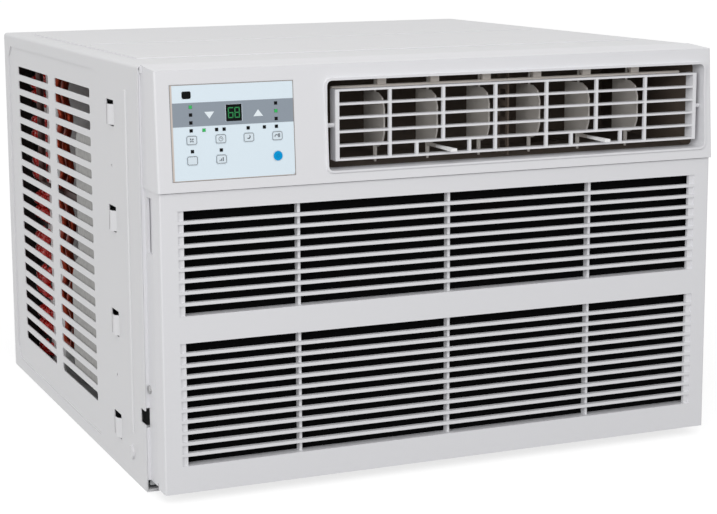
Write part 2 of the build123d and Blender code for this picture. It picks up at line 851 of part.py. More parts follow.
def front_bezel():
    panel = fascia() + lower_frame() + panel_lips() + hinge_arms()
    panel = panel + outlet_rim() + outlet_tunnel()
    panel -= along_y(outlet_profile(0, outlet_corner), back(-lever_reach),
                     lever_reach + tunnel_depth + overcut)
    pin_hole = Pos(back(louver_axis_depth), louver_mid_z) * bore_flats(louver_pin_radius,
                                                                       pin_sides)
    panel -= along_x(pin_hole, outlet_left - moulded_wall - overcut,
                     outlet_width + 2 * moulded_wall + 2 * overcut)
    panel -= on_fascia(label_mid_x, label_mid_up, -overcut,
                       Rectangle(label_width + 2 * seat_gap, label_height + 2 * seat_gap),
                       overcut + label_thickness)
    panel -= on_fascia(label_mid_x, label_mid_up, -overcut,
                       Rectangle(label_width - 2 * label_ledge, label_height - 2 * label_ledge),
                       2 * overcut + moulded_wall)
    screw_hole = bore_flats(screw_radius, screw_sides)
    for side in (-1, 1):
        for height in panel_screw_heights:
            panel -= along_y(Pos(side * panel_screw_x, height) * screw_hole,
                             back(grille_depth), seat_gap + moulded_wall + overcut)
        panel -= along_x(Pos(back(side_screw_depth), side_screw_z) * screw_hole,
                         side * grille_width / 2 - moulded_wall - overcut,
                         2 * (moulded_wall + overcut))
    return panel


# ------------------------------------------------------------------ intake grille
def grille_openings():
    """Foot and top of the lower and upper slatted openings."""
    return ((grille_field_foot_z, grille_band_foot_z, lower_gap_count),
            (grille_band_top_z, grille_field_top_z, upper_gap_count))


def grille_shell():
    """Moulded box of the intake grille, open at the back."""
    half = grille_width / 2
    w = moulded_wall
    shell = block(-half, half, back(0), back(grille_depth), grille_foot_z, grille_top_z)
    upright = shell.edges().filter_by(Axis.Z).sort_by(Axis.Y)[:2]
    shell = fillet(upright, grille_corner)
    shell -= block(-half + w, half - w, back(w), back(grille_depth + overcut),
                   grille_foot_z + w, grille_top_z - w)
    shell -= block(-half - overcut, half + overcut, back(hinge_relief),
                   back(grille_depth + overcut), grille_foot_z - overcut,
                   hinge_z + hinge_relief_rise)
    return shell


def grille_field(foot, top, gaps):
    """One slatted opening: solid core, cavity behind the slats, gaps and ribs."""
    half = grille_field_width / 2
    w = moulded_wall
    pitch = (top - foot) / gaps
    core = block(-half - w, half + w, back(w - weld), back(grille_wall_depth), foot - w, top + w)
    cavity = block(-half, half, back(slat_depth), back(grille_wall_depth + overcut), foot, top)
    slots = []
    for number in range(gaps):
        low = foot + number * pitch + (slat_thickness / 2 if number else 0)
        high = foot + (number + 1) * pitch - (slat_thickness / 2 if number < gaps - 1 else 0)
        slots.append(block(-half, half, back(-overcut), back(slat_depth + overcut), low, high))
    ribs = [block(column * rib_spacing - rib_width / 2, column * rib_spacing + rib_width / 2,
                  back(slat_depth), back(grille_wall_depth), foot, top)
            for column in (-1, 0, 1)]
    return core, [cavity] + slots, ribs


def grille_hinge():
    """Cheeks and pins at the foot of the grille, either side of each panel arm."""
    pieces = []
    for side in (-1, 1):
        middle = side * hinge_offset
        for turn in (-1, 1):
            inner = middle + turn * (hinge_arm_width / 2 + seat_gap)
            pieces.append(block(inner, inner + turn * hinge_cheek, back(moulded_wall - weld),
                                back(hinge_depth + hinge_arm_radius),
                                grille_foot_z + moulded_wall - weld,
                                hinge_z + hinge_arm_radius))
        reach = hinge_arm_width / 2 + seat_gap + hinge_cheek / 2
        pin = Pos(back(hinge_depth), hinge_z) * flats(hinge_pin_radius, pin_sides)
        pieces.append(along_x(pin, middle - reach, 2 * reach))
    return pieces


def intake_grille():
    grille = grille_shell()
    fields = [grille_field(*opening) for opening in grille_openings()]
    grille += [core for core, openings, ribs in fields]
    for core, openings, ribs in fields:
        grille = grille - openings + ribs
    for side in (-1, 1):
        middle = side * hinge_offset
        grille -= block(middle - hinge_arm_width / 2 - seat_gap,
                        middle + hinge_arm_width / 2 + seat_gap, back(moulded_wall),
                        back(grille_depth + overcut), grille_foot_z - overcut,
                        grille_foot_z + moulded_wall)
    return grille + grille_hinge()


def air_filter():
    """Washable filter: a bound edge and cross ribs round a thin mesh."""
    inner_foot = grille_field_foot_z - moulded_wall
    inner_top = grille_field_top_z + moulded_wall
    half = grille_field_width / 2 + filter_margin
    front = back(grille_wall_depth + seat_gap)
    rear = front + filter_thickness
    screen = block(-half, half, front, front + filter_mesh, inner_foot, inner_top)
    edge = block(-half, half, front, rear, inner_foot, inner_top)
    width = (2 * half - filter_frame * (filter_columns + 1)) / filter_columns
    for column in range(filter_columns):
        x0 = -half + filter_frame + column * (width + filter_frame)
        edge -= block(x0, x0 + width, front - overcut, rear + overcut, inner_foot + filter_frame,
                      inner_top - filter_frame)
    return screen + edge


# ------------------------------------------------------------------ louvers and vanes
def post_x(number):
    """X of a louver post, counted from the left."""
    return louver_left + first_post_gap + number * vane_pitch


def louver_frame():
    """Frame of fixed cross bars that tilts as one piece on two end pins."""
    left = louver_left
    right = louver_left + louver_width
    front = back(louver_set)
    top = louver_foot_z + louver_height
    pitch = (louver_height - louver_bar) / louver_rows
    stubs = [post_x(n) + s * vane_pitch for n in lead_vanes for s in (-0.5, 0.5)]
    posts = [post_x(n) for n in range(vane_count) if n not in lead_vanes]
    split_foot = louver_foot_z + pitch
    frame = [block(left, left + louver_side, front, front + louver_side_depth, louver_foot_z, top),
             block(right - louver_side, right, front, front + louver_side_depth,
                   louver_foot_z, top)]
    for row in range(louver_rows + 1):
        foot = louver_foot_z + row * pitch
        frame.append(block(left + louver_side - weld, right - louver_side + weld, front,
                           front + louver_depth, foot, foot + louver_bar))
    uprights = [(x, louver_foot_z, top) for x in posts]
    uprights += [(post_x(n), split_foot, top) for n in lead_vanes]
    uprights += [(x, louver_foot_z, split_foot + louver_bar) for x in stubs]
    for x, foot, head in uprights:
        frame.append(block(x - louver_post / 2, x + louver_post / 2, front,
                           front + louver_post_depth, foot, head))
    pin = Pos(back(louver_axis_depth), louver_mid_z) * flats(louver_pin_radius, pin_sides)
    left_pin = louver_left_gap + louver_pin_bite
    right_pin = louver_right_gap + louver_pin_bite
    frame.append(along_x(pin, left - left_pin, left_pin + weld))
    frame.append(along_x(pin, right - weld, right_pin + weld))
    return frame[0] + frame[1:]


def vane(number):
    """Upright vane with pivot pins, a crank pin, and a lever on the lead vanes."""
    middle = post_x(number) + vane_offset
    foot = vane_foot_z
    head = vane_head_z
    front = back(vane_front)
    rear = back(vane_front + vane_chord)
    pivot = Pos(middle, back(vane_pivot_depth))
    c = vane_corner
    h = vane_corner_ease
    blade = outline(
        (front, foot + c), (front + h, foot + h), (front + c, foot), (rear, foot),
        (rear, head), (front + c, head), (front + h, head - h), (front, head - c),
    )
    blade = along_x(blade, middle - vane_thickness / 2, vane_thickness)
    pin = flats(vane_pin_radius, pin_sides)
    pins = [
        along_z(pivot * pin, outlet_foot_z - moulded_wall + weld,
                vane_foot_gap + moulded_wall),
        along_z(pivot * pin, head - weld, vane_head_gap + moulded_wall),
        along_z(pivot * flats(vane_boss_radius, pin_sides), foot - vane_boss_height,
                vane_boss_height + weld),
        along_z(Pos(middle, back(vane_crank_depth)) * pin, head - weld,
                link_lift + link_thickness + 3 * weld),
    ]
    if number in lead_vanes:
        tip = back(-lever_reach)
        neck = back(louver_set + louver_depth)
        root = back(vane_pivot_depth)
        lever = outline(
            (middle - lever_width / 2, tip), (middle + lever_width / 2, tip),
            (middle + lever_neck / 2, neck), (middle + lever_neck / 2, root),
            (middle - lever_neck / 2, root), (middle - lever_neck / 2, neck),
        )
        pins.append(along_z(lever, foot - lever_drop, lever_thickness))
    return blade + pins


def vane_link(group):
    """Bar that joins the crank pins of three vanes."""
    head = vane_head_z
    numbers = range(3 * group, 3 * group + 3)
    centres = [post_x(number) + vane_offset for number in numbers]
    y = back(vane_crank_depth)
    bar = block(centres[0] - link_overhang, centres[-1] + link_overhang, y - link_width / 2,
                y + link_width / 2, head + link_lift, head + link_lift + link_thickness)
    hole = bore_flats(vane_pin_radius, pin_sides)
    return bar - [along_z(Pos(x, y) * hole, head, 2 * link_lift + 2 * link_thickness)
                  for x in centres]


def outlet_duct():
    """Box between the tunnel and the volute, with vane pivots and a ladder rib."""
    w = moulded_wall
    front = back(tunnel_depth + seat_gap)
    rear = back(volute_front + volute_depth)
    duct = block(outlet_left - w, outlet_right + w, front, rear, outlet_foot_z - w,
                 outlet_top_z + w)
    duct -= block(outlet_left, outlet_right, front - overcut, rear - w, outlet_foot_z,
                  outlet_top_z)
    volute_right = fan_x + volute_start + volute_growth
    duct -= block(volute_neck_left, volute_right, back(volute_front), rear - w,
                  outlet_foot_z - w - overcut, outlet_foot_z + overcut)
    hole = bore_flats(vane_pin_radius, pin_sides)
    for number in range(vane_count):
        place = Pos(post_x(number) + vane_offset, back(vane_pivot_depth))
        duct -= along_z(place * hole, outlet_foot_z - w - overcut,
                        outlet_height + 2 * w + 2 * overcut)
    half = ladder_thickness / 2
    rung_pitch = outlet_height / ladder_rungs
    ladder = block(outlet_mid_x - half, outlet_mid_x + half, back(ladder_front),
                   back(ladder_front + ladder_length), outlet_foot_z - weld, outlet_top_z + weld)
    for number in range(ladder_rungs):
        foot = outlet_foot_z + number * rung_pitch + ladder_bar / 2
        ladder -= block(outlet_mid_x - half - overcut, outlet_mid_x + half + overcut,
                        back(ladder_front + ladder_rail),
                        back(ladder_front + ladder_length - ladder_rail), foot,
                        foot + rung_pitch - ladder_bar)
    return duct + ladder


# ------------------------------------------------------------------ controls
def lamp_places():
    """Where the indicator lamps stand, from the middle of the label."""
    places = [(x, lamp_row + step * lamp_pitch)
              for x in lamp_end_columns for step in range(lamp_column_count)]
    places += [(x, lamp_row) for x in lamp_row_columns]
    return places + list(lamp_lower)


def arrow(turn):
    """Triangle of an arrow key, pointing up or down."""
    u = arrow_width / 2
    v = arrow_height / 2 * turn
    return outline((-u, -v), (u, -v), (0, v))


def key_shapes():
    """Each key's name, place from the middle of the label, and outline."""
    plain = cut_corners(key_width, key_height, key_corner)
    return {
        "key_fan": (key_columns[0], key_row_upper, plain),
        "key_timer": (key_columns[1], key_row_upper, plain),
        "key_sleep": (key_columns[2], key_row_upper, plain),
        "key_mode": (key_columns[3], key_row_upper, plain),
        "key_filter": (key_columns[0], key_row_lower, plain),
        "key_saver": (key_columns[1], key_row_lower, plain),
        "key_power": (key_columns[3], key_row_lower, flats(power_radius, power_sides)),
        "key_down": (arrow_columns[0], arrow_row, arrow(-1)),
        "key_up": (arrow_columns[1], arrow_row, arrow(1)),
    }


def on_label(x, up, depth, sketch, thickness):
    """Sketch placed from the middle of the label."""
    return on_fascia(label_mid_x + x, label_mid_up + up, depth, sketch, thickness)


def grown(sketch, amount):
    """Outline moved outwards by a clearance, with sharp corners."""
    return offset(sketch, amount=amount, kind=Kind.INTERSECTION)


def control_overlay():
    """Stiff printed label with holes for the keys, lamps and windows."""
    u = label_width / 2
    v = label_height / 2
    c = label_corner_cut
    plate = on_label(0, 0, 0, outline((-u, -v), (u - c, -v), (u, -v + c), (u, v), (-u, v)),
                     label_thickness)
    through = label_thickness + 2 * overcut
    holes = [on_label(x, up, -overcut, grown(shape, label_gap), through)
             for x, up, shape in key_shapes().values()]
    size = display_size + 2 * label_gap
    holes.append(on_label(*display_place, -overcut, Rectangle(size, size), through))
    holes.append(on_label(*receiver_place, -overcut,
                          Rectangle(receiver_width + 2 * label_gap,
                                    receiver_height + 2 * label_gap), through))
    return plate - holes


def control_key(name):
    """Key cap with a retaining flange and a stem to its switch on the board."""
    x, up, shape = key_shapes()[name]
    cap = on_label(x, up, -key_raise, shape, key_raise + label_thickness + seat_gap + weld)
    size = shape.bounding_box().size
    flange = on_label(x, up, label_thickness + seat_gap,
                      Rectangle(size.X + 2 * key_flange, size.Y + 2 * key_flange),
                      key_flange_thickness)
    stem_top = label_thickness + seat_gap + key_flange_thickness
    stem = on_label(x, up, stem_top - weld, Rectangle(key_stem, key_stem),
                    key_stem_length + weld)
    return cap + flange + stem


def indicator_lenses():
    """Small windows over the lamps, one solid each."""
    lens = Rectangle(lamp_size, lamp_size)
    return Compound(children=[on_label(x, up, -lamp_raise, lens, lamp_raise)
                              for x, up in lamp_places()])


def display_window():
    """Two-digit display and its body down to the board."""
    face = on_label(*display_place, 0, Rectangle(display_size, display_size),
                    label_thickness + window_depth)
    body = on_label(*display_place, label_thickness,
                    Rectangle(display_size - 2 * display_side_step,
                              display_size - 2 * display_end_step),
                    board_face - label_thickness)
    return face + body


def receiver_window():
    """Remote-control receiver behind its dark window."""
    face = on_label(*receiver_place, 0,
                    cut_corners(receiver_width, receiver_height, receiver_corner),
                    label_thickness + window_depth)
    body = on_label(*receiver_place, label_thickness,
                    Rectangle(receiver_body_width, receiver_body_height),
                    board_face - label_thickness)
    return face + body


def control_board():
    edge = 2 * (label_ledge + board_gap)
    return on_label(0, 0, board_face, Rectangle(label_width - edge, label_height - edge),
                    board_thickness)


def control_box():
    """Tray behind the fascia that holds the board on four posts."""
    width = label_width + board_margin
    height = label_height + board_margin
    front = moulded_wall + seat_gap
    tray = on_label(0, 0, front, Rectangle(width, height), box_depth)
    tray -= on_label(0, 0, front - overcut,
                     Rectangle(width - 2 * box_wall, height - 2 * box_wall),
                     box_depth - box_wall + overcut)
    post_side = label_width / 2 - label_ledge - post_inset
    post_up = label_height / 2 - label_ledge - post_inset
    start = board_face + board_thickness
    posts = [on_label(sx * post_side, sy * post_up, start, Rectangle(post_size, post_size),
                      front + box_depth - box_wall + weld - start)
             for sx in (-1, 1) for sy in (-1, 1)]
    return tray + posts


# ------------------------------------------------------------------ air path
def volute_radius(turn):
    """Radius of the volute's skin at a share of its turn."""
    return volute_start + volute_growth * turn


def volute_outline(inset):
    """Growing spiral from the cut-off round to the neck, and the neck up to the duct."""
    points = []
    for step in range(volute_steps + 1):
        turn = step / volute_steps
        angle = math.radians(volute_first_angle + volute_sweep * turn)
        radius = volute_radius(turn) - inset
        points.append((fan_x + radius * math.cos(angle), fan_z + radius * math.sin(angle)))
    top = outlet_foot_z - moulded_wall - seat_gap + (overcut if inset else 0)
    points.append((points[-1][0], top))
    points.append((volute_neck_left + inset, top))
    return outline(*points)


def blower_scroll():
    """Spiral housing of the blower with an inlet ring in its front wall."""
    front = back(volute_front)
    scroll = along_y(volute_outline(0), front, volute_depth)
    scroll -= along_y(volute_outline(volute_wall), front + volute_wall,
                      volute_depth - 2 * volute_wall)
    through = volute_wall + 2 * overcut
    scroll -= along_y(Pos(fan_x, fan_z) * flats(volute_inlet, round_sides), front - overcut,
                      through)
    scroll -= along_y(Pos(fan_x, fan_z) * flats(bulkhead_hole, round_sides),
                      front + volute_depth - volute_wall - overcut, through)
    return scroll


def blower_wheel():
    """Forward-curved wheel: blades between a front ring and a closed rear disc."""
    front = back(wheel_front)
    rear = front + wheel_length
    centre = Pos(fan_x, fan_z)
    ring = flats(wheel_radius, wheel_blades) - flats(wheel_radius - wheel_blade_span, wheel_blades)
    pieces = [
        along_y(centre * ring, front, wheel_ring),
        along_y(centre * flats(wheel_radius, wheel_blades), rear - wheel_ring, wheel_ring),
        along_y(centre * flats(hub_radius, shaft_sides), rear - hub_length, hub_length),
    ]
    middle_radius = (wheel_radius * math.cos(math.pi / wheel_blades) - wheel_blade_span / 2)
    for number in range(wheel_blades):
        angle = 360.0 / wheel_blades * (number + 0.5)
        blade = Rot(0, 0, angle) * (Pos(middle_radius, 0) * (
            Rot(0, 0, wheel_blade_lean) * Rectangle(wheel_blade_length, wheel_blade_thickness)))
        pieces.append(along_y(centre * blade, front + weld, wheel_length - 2 * weld))
    wheel = pieces[0] + pieces[1:]
    return wheel - along_y(centre * flats(shaft_radius, shaft_sides), front - overcut,
                           wheel_length + 2 * overcut)


def condenser_fan():
    """Pitched blades between a hub and the ring that slings water on to the coil."""
    front = back(fan_front)
    centre = Pos(fan_x, fan_z)
    ring_outer = flats(fan_radius + fan_ring_thickness, round_sides)
    ring = ring_outer - flats(fan_radius, round_sides)
    pieces = [
        along_y(centre * flats(fan_hub_radius, shaft_sides), front, fan_hub_length),
        along_y(centre * ring, back(fan_ring_front), fan_ring_width),
    ]
    root = fan_hub_radius - blade_root_sink
    tip = fan_radius * math.cos(math.pi / round_sides) + overcut
    nose = tip - blade_nose_inset
    for number in range(fan_blades):
        blade = outline((root, -blade_root_half), (nose, -blade_nose), (tip, -blade_tip_front),
                        (tip, blade_tip_rear), (root, blade_root_half))
        blade = Rot(fan_pitch, 0, 0) * extrude(blade, amount=fan_blade_thickness / 2, both=True)
        blade = Rot(90, 0, 0) * (Rot(0, 0, 360.0 / fan_blades * number) * blade)
        pieces.append(Pos(fan_x, front + fan_hub_length / 2, fan_z) * blade)
    fan = pieces[0] + pieces[1:]
    return fan - along_y(centre * flats(shaft_radius, shaft_sides), front - overcut,
                         fan_hub_length + 2 * overcut)


def motor_shaft():
    return along_y(Pos(fan_x, fan_z) * flats(shaft_radius, shaft_sides), back(shaft_front),
                   shaft_rear - shaft_front)


def fan_motor():
    """Double-ended motor: drum body and a bearing boss at each end."""
    centre = Pos(fan_x, fan_z)
    front = back(motor_front)
    drum = along_y(centre * flats(motor_radius, motor_sides), front, motor_length)
    bosses = along_y(centre * flats(motor_boss, shaft_sides), front - motor_boss_length,
                     motor_length + 2 * motor_boss_length)
    bore = along_y(centre * bore_flats(shaft_radius, shaft_sides),
                   front - motor_boss_length - overcut,
                   motor_length + 2 * (motor_boss_length + overcut))
    return drum + bosses - bore


def motor_bracket():
    """Two saddles on a base plate under the motor."""
    foot = pan_floor_z + seat_gap
    start = back(motor_front)
    half = bracket_foot_width / 2
    head = bracket_head_width / 2
    plate = block(fan_x - half, fan_x + half, start - bracket_set,
                  start - bracket_set + bracket_base_length, foot, foot + bracket_thickness)
    cradle = outline((fan_x - half, foot + saddle_root), (fan_x + half, foot + saddle_root),
                     (fan_x + head, fan_z), (fan_x - head, fan_z))
    cradle -= Pos(fan_x, fan_z) * flats(motor_radius + seat_gap, motor_sides)
    rear = start + motor_length - saddle_set - bracket_thickness
    return plate + [along_y(cradle, y, bracket_thickness) for y in (start + saddle_set, rear)]


def bulkhead():
    """Sheet wall between the room side and the outdoor side."""
    wall = block(-bulkhead_half, bulkhead_half, back(bulkhead_front),
                 back(bulkhead_front) + bulkhead_thickness, pan_floor_z + seat_gap, bulkhead_top_z)
    return wall - along_y(Pos(fan_x, fan_z) * flats(bulkhead_hole, round_sides),
                          back(bulkhead_front) - overcut, bulkhead_thickness + 2 * overcut)


def fan_shroud():
    """Box from the condenser forward to a round fan opening with a collar."""
    front = back(shroud_front)
    rear = back(condenser_front) - shroud_seat
    w = shroud_wall
    foot = pan_floor_z + seat_gap
    shroud = block(-shroud_half, shroud_half, front, rear, foot, shroud_top_z)
    shroud -= block(-shroud_half + w, shroud_half - w, front + w, rear + overcut, foot - overcut,
                    shroud_top_z - w)
    centre = Pos(fan_x, fan_z)
    collar = flats(shroud_hole + w, round_sides) - flats(shroud_hole, round_sides)
    shroud += along_y(centre * collar, front - shroud_collar, shroud_collar + w)
    return shroud - along_y(centre * flats(shroud_hole, round_sides), front - overcut,
                            w + 2 * overcut)


# ------------------------------------------------------------------ coils
def fin_pack(half, front, thickness, foot, height, grooved):
    """Block of fins with grooves on the side that is seen."""
    y0 = back(front)
    y1 = y0 + thickness
    edge, inner = (y0, y0 + fin_groove_depth) if grooved == "front" else (y1, y1 - fin_groove_depth)
    other = y1 if grooved == "front" else y0
    count = int(2 * half // fin_groove_pitch)
    start = -count * fin_groove_pitch / 2 + (fin_groove_pitch - fin_groove_width) / 2
    points = [(-half, other), (-half, edge)]
    for number in range(count):
        x0 = start + number * fin_groove_pitch
        x1 = x0 + fin_groove_width
        points += [(x0, edge), (x0, inner), (x1, inner), (x1, edge)]
    points += [(half, edge), (half, other)]
    return along_z(outline(*points), foot, height)


def evaporator_fins():
    return fin_pack(evaporator_half, evaporator_front, evaporator_thickness, evaporator_foot_z,
                    evaporator_height, "front")


def condenser_fins():
    return fin_pack(condenser_half, condenser_front, condenser_thickness, condenser_foot_z,
                    condenser_height, "rear")


def evaporator_end_plates():
    """Folded plates at both ends of the evaporator, with flanges for the front panel."""
    plates = []
    foot = pan_floor_z + tray_wall + seat_gap
    top = evaporator_foot_z + evaporator_height + plate_reach
    for side in (-1, 1):
        inner = side * evaporator_half
        front = back(evaporator_front - evaporator_plate_set)
        plate = block(inner, inner + side * end_plate, front,
                      back(evaporator_front + evaporator_thickness + plate_reach), foot, top)
        plate += block(inner, inner + side * evaporator_flange, front, front + end_plate,
                       foot, top)
        for height in panel_screw_heights:
            hole = Pos(side * panel_screw_x, height) * bore_flats(screw_radius, screw_sides)
            plate -= along_y(hole, front - overcut, end_plate + 2 * overcut)
        plates.append(plate)
    return Compound(children=plates)


def condenser_end_plates():
    """Folded plates at both ends of the condenser, with rear flanges to the cabinet."""
    plates = []
    foot = pan_floor_z + seat_gap
    top = condenser_foot_z + condenser_height + condenser_plate_rise
    for side in (-1, 1):
        inner = side * condenser_half
        rear = back(condenser_front + condenser_thickness + plate_reach)
        plate = block(inner, inner + side * end_plate,
                      back(condenser_front) - shroud_seat + seat_gap, rear,
                      foot, top)
        plate += block(inner, inner + side * condenser_flange, rear - end_plate, rear, foot, top)
        plates.append(plate)
    return Compound(children=plates)


def return_bend(x, y, z, span, side, across):
    """Hairpin from one tube end to the next, bulging out past the end plate."""
    radius = span / 2
    route = [(0.0, -radius), (tube_stub, -radius)]
    for step in range(1, tube_bend_steps):
        angle = math.pi * step / tube_bend_steps - math.pi / 2
        route.append((tube_stub + radius * math.cos(angle), radius * math.sin(angle)))
    route += [(tube_stub, radius), (0.0, radius)]
    if across:
        points = [(x + side * u, y + v, z) for u, v in route]
    else:
        points = [(x + side * u, y, z + v) for u, v in route]
    path = Polyline(*points)
    section = Plane(origin=points[0], z_dir=(side, 0, 0)) * flats(tube_radius, tube_sides)
    return sweep(section, path=path, transition=Transition.RIGHT)


def coil_bends(half, y, first_z, count, pitch):
    """Bends of one tube row: pairs join at the right end and in between at the left."""
    bends = []
    for number in range(0, count - 1, 2):
        bends.append(return_bend(half + end_plate, y, first_z + (number + 0.5) * pitch, pitch,
                                 1, False))
    for number in range(1, count - 1, 2):
        bends.append(return_bend(-half - end_plate, y, first_z + (number + 0.5) * pitch, pitch,
                                 -1, False))
    return bends


def first_tube_z(foot, height, count, pitch):
    """Height of the lowest tube when the row is centred in its fins."""
    return foot + (height - (count - 1) * pitch) / 2


def evaporator_tubes_node():
    z = first_tube_z(evaporator_foot_z, evaporator_height, evaporator_tubes, evaporator_pitch)
    y = back(evaporator_front + evaporator_thickness / 2)
    return Compound(children=coil_bends(evaporator_half, y, z, evaporator_tubes,
                                        evaporator_pitch))


def condenser_tubes_node():
    z = first_tube_z(condenser_foot_z, condenser_height, condenser_tubes, condenser_pitch)
    bends = []
    for row in condenser_rows:
        bends += coil_bends(condenser_half, back(condenser_front + row), z, condenser_tubes,
                            condenser_pitch)
    middle_y = back(condenser_front + sum(condenser_rows) / 2)
    bends.append(return_bend(-condenser_half - end_plate, middle_y, z,
                             condenser_rows[1] - condenser_rows[0], -1, True))
    return Compound(children=bends)


def drain_tray():
    """Moulded tray under the evaporator."""
    foot = pan_floor_z
    front = back(tray_front)
    tray = block(-tray_half, tray_half, front, front + tray_length, foot, foot + tray_height)
    return tray - block(-tray_half + tray_wall, tray_half - tray_wall, front + tray_wall,
                        front + tray_length - tray_wall, foot + tray_wall,
                        foot + tray_height + overcut)


# ------------------------------------------------------------------ compressor side
def can(x, y, foot, radius, height, shoulder, sides):
    """Upright welded can with a sloped shoulder at each end."""
    body = along_z(Pos(x, y) * flats(radius, sides), foot, height)
    ends = body.faces().sort_by(Axis.Z)
    return chamfer(ends[0].edges() + ends[-1].edges(), shoulder)


def compressor_foot_z():
    return pan_floor_z + grommet_height + foot_plate


def grommet_places():
    """Three mounting points round the compressor."""
    for number in range(3):
        angle = math.radians(90 + 120 * number)
        yield (compressor_x + grommet_circle * math.cos(angle),
               back(compressor_depth) + grommet_circle * math.sin(angle))


def compressor():
    """Welded can on a three-cornered foot plate."""
    foot = compressor_foot_z()
    body = can(compressor_x, back(compressor_depth), foot, compressor_radius,
               compressor_height, compressor_shoulder, round_sides)
    corners = [(x, y) for x, y in grommet_places()]
    plate = along_z(offset(outline(*corners), amount=grommet_radius, kind=Kind.INTERSECTION),
                    foot - foot_plate, foot_plate)
    plate &= along_z(Pos(compressor_x, back(compressor_depth)) * flats(
        grommet_circle + grommet_radius, shaft_sides), foot - foot_plate, foot_plate)
    return body + plate


def compressor_grommets():
    """Rubber mounts between the pan and the compressor's foot plate."""
    return Compound(children=[
        along_z(Pos(x, y) * flats(grommet_radius, grommet_sides), pan_floor_z, grommet_height)
        for x, y in grommet_places()])


def accumulator_x():
    return compressor_x + compressor_radius + accumulator_gap + accumulator_radius


def accumulator():
    """Suction accumulator strapped beside the compressor."""
    foot = compressor_foot_z() + accumulator_lift
    body = can(accumulator_x(), back(compressor_depth), foot, accumulator_radius,
               accumulator_height, accumulator_shoulder, capacitor_sides)
    strap_z = foot + accumulator_height / 2
    middle = back(compressor_depth)
    strap = block(compressor_x + compressor_radius + seat_gap, accumulator_x(),
                  middle - strap_width / 2, middle + strap_width / 2, strap_z,
                  strap_z + strap_height)
    return body + strap


def pipe(points, radius, bend):
    """Copper pipe along straight runs, with each corner eased by a short slant."""
    corners = [Vector(*point) for point in points]
    route = [corners[0]]
    for before, corner, after in zip(corners, corners[1:], corners[2:]):
        route.append(corner + (before - corner).normalized() * bend)
        route.append(corner + (after - corner).normalized() * bend)
    route.append(corners[-1])
    section = Plane(origin=route[0], z_dir=route[1] - route[0]) * flats(radius, pipe_sides)
    return sweep(section, path=Polyline(*route), transition=Transition.RIGHT)


def condenser_port(row):
    """Open end of the highest tube of a condenser row, at the left end plate."""
    z = first_tube_z(condenser_foot_z, condenser_height, condenser_tubes, condenser_pitch)
    return (-condenser_half - end_plate, back(condenser_front + condenser_rows[row]),
            z + (condenser_tubes - 1) * condenser_pitch)


def discharge_pipe():
    """From the compressor's crown round a loop and into the condenser's front row."""
    x, y, z = condenser_port(0)
    crown = compressor_foot_z() + compressor_height
    cx = compressor_x - discharge_set
    cy = back(compressor_depth)
    out = x - pipe_lane
    leg = back(loop_front)
    far = leg + loop_length
    return pipe([(cx, cy, crown), (cx, cy, z), (out, cy, z), (out, leg, z),
                 (out, leg, loop_foot_z), (out, far, loop_foot_z), (out, far, z),
                 (out, y, z), (x, y, z)], discharge_radius, discharge_bend)


def suction_pipe():
    """From the accumulator's crown forward to the bulkhead."""
    crown = compressor_foot_z() + accumulator_lift + accumulator_height
    x = accumulator_x()
    y = back(compressor_depth)
    wall = back(bulkhead_front) + bulkhead_thickness
    top = crown + suction_rise
    return pipe([(x, y, crown), (x, y, top), (x - suction_jog, y, top),
                 (x - suction_jog, wall, top)], suction_radius, suction_bend)


def liquid_z():
    return condenser_port(0)[2] - liquid_drop


def liquid_x():
    return condenser_port(1)[0] - outer_lane


def liquid_pipe():
    """From the condenser's rear row, over the front row and down to the filter drier."""
    x, y, z = condenser_port(1)
    out = liquid_x()
    front = back(condenser_front - liquid_setback)
    over = z + lane_lift
    return pipe([(x, y, z), (out, y, z), (out, y, over), (out, front, over),
                 (out, front, liquid_z()), (out, back(drier_rear), liquid_z())],
                liquid_radius, liquid_bend)


def filter_drier():
    """Small copper cartridge in the liquid line, held to the compressor side."""
    x = liquid_x() + drier_radius - liquid_radius
    y1 = back(drier_rear)
    return along_y(Pos(x, liquid_z()) * flats(drier_radius, grommet_sides),
                   y1 - drier_length, drier_length)


def capillary_pipe():
    """Thin line from the drier forward to the bulkhead."""
    x = liquid_x() + drier_radius - liquid_radius
    y1 = back(drier_rear) - drier_length
    wall = back(bulkhead_front) + bulkhead_thickness
    z = liquid_z()
    turn = y1 - capillary_run
    top = z + capillary_rise
    return pipe([(x, y1, z), (x, turn, z), (x, turn, top), (x, wall, top)],
                capillary_radius, capillary_bend)


# ------------------------------------------------------------------ small parts
def run_capacitor():
    """Motor capacitor clipped to the room side of the bulkhead."""
    y = back(bulkhead_front) - seat_gap - capacitor_radius
    return along_z(Pos(capacitor_x, y) * flats(capacitor_radius, capacitor_sides), capacitor_z,
                   capacitor_height)


def panel_screws():
    """Four screws that hold the front panel to the evaporator's flanges."""
    screws = []
    seat = back(grille_depth + seat_gap)
    for side in (-1, 1):
        for height in panel_screw_heights:
            centre = Pos(side * panel_screw_x, height)
            head = along_y(centre * flats(screw_head_radius, screw_sides), seat - screw_head_height,
                           screw_head_height)
            shank = along_y(centre * flats(screw_radius, screw_sides), seat - weld, screw_length)
            screws.append(head + shank)
    return Compound(children=screws)


def side_screws():
    """One screw through each side strip of the front panel."""
    screws = []
    for side in (-1, 1):
        skin = side * grille_width / 2
        centre = Pos(back(side_screw_depth), side_screw_z)
        head = along_x(centre * flats(screw_head_radius, screw_sides),
                       skin if side > 0 else skin - screw_head_height, screw_head_height)
        shank = along_x(centre * flats(screw_radius, screw_sides),
                        skin - side_screw_length if side > 0 else skin - weld,
                        side_screw_length + weld)
        screws.append(head + shank)
    return Compound(children=screws)


